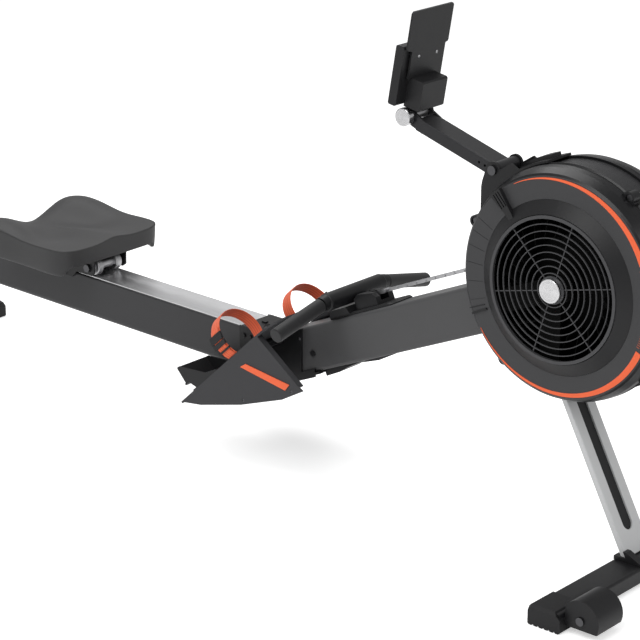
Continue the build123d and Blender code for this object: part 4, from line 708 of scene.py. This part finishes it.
# marks on the housing's faces
marks = {"face": 0.078, "tickInner": 0.187, "tickOuter": 0.1935, "tickWidth": 0.0011, "tickFirst": 21.5,
         "tickLast": -21.5, "tickCount": 34, "height": 0.0005, "lineInner": 0.166, "lineOuter": 0.203,
         "lineWidth": 0.0007, "lineHeight": 0.0003, "lines": (-161.5, -172.0, 177.5, 168.0, 159.5, 151.5)}
damperRibs = ({"angle": -154.5, "inner": 0.170, "outer": 0.206, "width": 0.004, "height": 0.003},
              {"angle": -157.5, "inner": 0.172, "outer": 0.209, "width": 0.0016, "height": 0.0012})


def radialBars(angles, inner, outer, width, height, side):
    # a bar from the inner to the outer radius at every angle, standing out of the face
    a = rad(np.asarray(angles, float))
    outward = np.stack((np.cos(a), np.zeros_like(a), np.sin(a)), axis=-1)
    sideways = np.stack((-np.sin(a), np.zeros_like(a), np.cos(a)), axis=-1)
    away = np.broadcast_to(across * side, outward.shape)
    half = width / 2
    box = prism(np.array(((inner, -half), (outer, -half), (outer, half), (inner, half))), 0, height)
    origins = np.broadcast_to(hub + across * side * marks["face"], outward.shape)
    return repeatPart(box, origins, np.stack((outward, sideways, away), axis=1))


def buildMarks():
    angles = np.linspace(marks["tickFirst"], marks["tickLast"], marks["tickCount"])
    bars = [radialBars(angles, marks["tickInner"], marks["tickOuter"], marks["tickWidth"],
                       marks["height"], side) for side in (-1, 1)]
    lines = [radialBars(marks["lines"], marks["lineInner"], marks["lineOuter"], marks["lineWidth"],
                        marks["lineHeight"], -1)]
    ribs = [radialBars((rib["angle"],), rib["inner"], rib["outer"], rib["width"], rib["height"], -1)
            for rib in damperRibs]
    for name, parts, finish, slotName in (("faceTicks", bars, "orangeDim", "orange"),
                                          ("damperScale", lines, "lineDark", "black_plastic"),
                                          ("damperStop", ribs, "blackPlastic", "black_plastic")):
        mesh = tidyMesh(joinMeshes(name, parts), smooth=False)
        addPiece(name, mesh, materials[finish], "frame")


buildMarks()
print("marks built")

# screws
screw = {"radius": 0.0032, "dome": 0.0016, "sides": 18,
         "sidePlaces": ((-0.571, 0.150, -0.322), (-0.700, 0.150, -0.372), (-0.640, 0.0483, -0.255)),
         "boardStations": (0.06, 0.135, 0.290), "boardMiddle": 0.140,
         "consolePlaces": ((0.001, -0.022, 0.117), (0.001, 0.030, 0.117))}


def screwHeads(name, places, body, finish):
    # dome h = dome * (1 - (r / R)^2) round a sunk socket, at every (place, direction)
    steps = np.linspace(1, 0, 9)
    r = np.concatenate(([1.0], steps[:6], [0.40, 0.38, 0.0])) * screw["radius"]
    h = np.concatenate(([-0.6], 1 - steps[:6] ** 2, [0.85, -0.1, -0.1])) * screw["dome"]
    phi = np.linspace(0, 2 * np.pi, screw["sides"], endpoint=False)
    meshes = []
    for place, direction in places:
        out = np.asarray(direction, float) / np.linalg.norm(direction)
        first = np.cross(out, (0.0, 0.0, 1.0) if abs(out[2]) < 0.9 else (1.0, 0.0, 0.0))
        first = first / np.linalg.norm(first)
        second = np.cross(out, first)
        ring = np.cos(phi)[None, :, None] * first + np.sin(phi)[None, :, None] * second
        points = np.asarray(place) + ring * r[:, None, None] + out * h[:, None, None]
        mesh = gridMesh("part", points)
        verts = np.zeros(len(mesh.vertices) * 3)
        mesh.vertices.foreach_get("co", verts)
        meshes.append((verts.reshape(-1, 3), [list(polygon.vertices) for polygon in mesh.polygons]))
        bpy.data.meshes.remove(mesh)
    addPiece(name, tidyMesh(joinMeshes(name, meshes)), materials[finish], body)


def consolePlace(a, y, h):
    # pivot + a out of the console's front + y across + h up its face
    return tiltAxis + consoleFront * a + across * y + consoleUp * h


def buildScrews():
    fixed = []
    for side in (-1, 1):
        for x, y, z in screw["sidePlaces"]:
            fixed.append((hub + (x, side * y, z), across * side))
        for station in screw["boardStations"]:
            fixed.append((heel + boardUp * station + across * side * screw["boardMiddle"], boardOut))
    screwHeads("frameScrews", fixed, "frame", "boltSteel")
    screwHeads("consoleScrews", [(consolePlace(*place), consoleFront) for place in screw["consolePlaces"]],
               "console", "steel")


buildScrews()
print("screws built")

# steel sleeve across the console's pivot
sleeve = {"radius": 0.0125, "half": 0.0193, "sides": 48}


def buildSleeve():
    # point = pivot + radius * (cos, sin) round the pivot, from one end to the other
    phi = np.linspace(0, 2 * np.pi, sleeve["sides"], endpoint=False)
    ring = np.stack((np.cos(phi), np.zeros_like(phi), np.sin(phi)), axis=-1) * sleeve["radius"]
    ends = np.array((-sleeve["half"], sleeve["half"]))
    grid = tiltAxis + ring[None] + ends[:, None, None] * across
    mesh = tidyMesh(gridMesh("tiltSleeve", grid))
    addPiece("tiltSleeve", mesh, materials["steel"], "console")


buildSleeve()
print("sleeve built")

# floor, light, camera
floorLook = {"size": 40.0, "color": (0.93, 0.93, 0.93), "roughness": 0.85, "specular": 0.1,
             "glowOnObject": (0.14, 0.14, 0.14), "glowSeen": (0.5, 0.5, 0.5)}


def buildStage():
    mesh = bpy.data.meshes.new("floor")
    size = floorLook["size"]
    corners = [(-size, -size, 0), (size, -size, 0), (size, size, 0), (-size, size, 0)]
    mesh.from_pydata(corners, [], [(0, 1, 2, 3)])
    floor = bpy.data.objects.new("floor", mesh)
    scene.collection.objects.link(floor)
    material = bpy.data.materials.new("floorPale")
    material.use_nodes = True
    shader = material.node_tree.nodes["Principled BSDF"]
    shader.inputs["Base Color"].default_value = solidColor(floorLook["color"])
    shader.inputs["Roughness"].default_value = floorLook["roughness"]
    shader.inputs["Specular IOR Level"].default_value = floorLook["specular"]
    # the floor glows to the camera and little to the object, so the ground stays near white
    tree = material.node_tree
    seen = tree.nodes.new("ShaderNodeLightPath").outputs["Is Camera Ray"]
    glow = mixColor(tree, seen, solidColor(floorLook["glowOnObject"]), solidColor(floorLook["glowSeen"]))
    tree.links.new(glow, shader.inputs["Emission Color"])
    shader.inputs["Emission Strength"].default_value = 1.0
    mesh.materials.append(material)


worldStrength = 0.42
lamps = {
    "keyLight": {"place": (0.6, -2.6, 3.6), "aim": (0.1, 0, 0.3), "size": 2.6, "power": 85},
    "topLight": {"place": (-1.4, 0.9, 3.4), "aim": (-0.4, 0, 0.3), "size": 2.8, "power": 65},
    "frontLight": {"place": (3.6, 0.3, 2.0), "aim": (0.6, 0, 0.4), "size": 2.0, "power": 22},
}


def buildLights():
    world = bpy.data.worlds.new("studio")
    scene.world = world
    world.use_nodes = True
    world.node_tree.nodes["Background"].inputs["Color"].default_value = (1, 1, 1, 1)
    world.node_tree.nodes["Background"].inputs["Strength"].default_value = worldStrength
    for name, lamp in lamps.items():
        data = bpy.data.lights.new(name, "AREA")
        data.shape = "SQUARE"
        data.size = lamp["size"]
        data.energy = lamp["power"]
        light = bpy.data.objects.new(name, data)
        scene.collection.objects.link(light)
        light.location = lamp["place"]
        toward = Vector(lamp["aim"]) - Vector(lamp["place"])
        light.rotation_euler = toward.to_track_quat("-Z", "Y").to_euler()


camera = {"azimuth": 41.17, "elevation": 19.37, "distance": 4.8494, "lens": 136.79, "sensor": 36.0,
          "target": hub + np.array((-0.6281, 0, -0.22548))}


def buildCamera():
    a, e = rad(camera["azimuth"]), rad(camera["elevation"])
    back = Vector((np.sin(a) * np.cos(e), -np.cos(a) * np.cos(e), np.sin(e)))
    data = bpy.data.cameras.new("camera")
    data.lens = camera["lens"]
    data.sensor_width = camera["sensor"]
    view = bpy.data.objects.new("camera", data)
    scene.collection.objects.link(view)
    view.location = Vector(camera["target"]) + back * camera["distance"]
    view.rotation_euler = (-back).to_track_quat("-Z", "Y").to_euler()
    scene.camera = view


buildStage()
buildLights()
buildCamera()
scene.view_settings.view_transform = "Standard"
scene.view_settings.look = "None"
print("stage, lights and camera built")
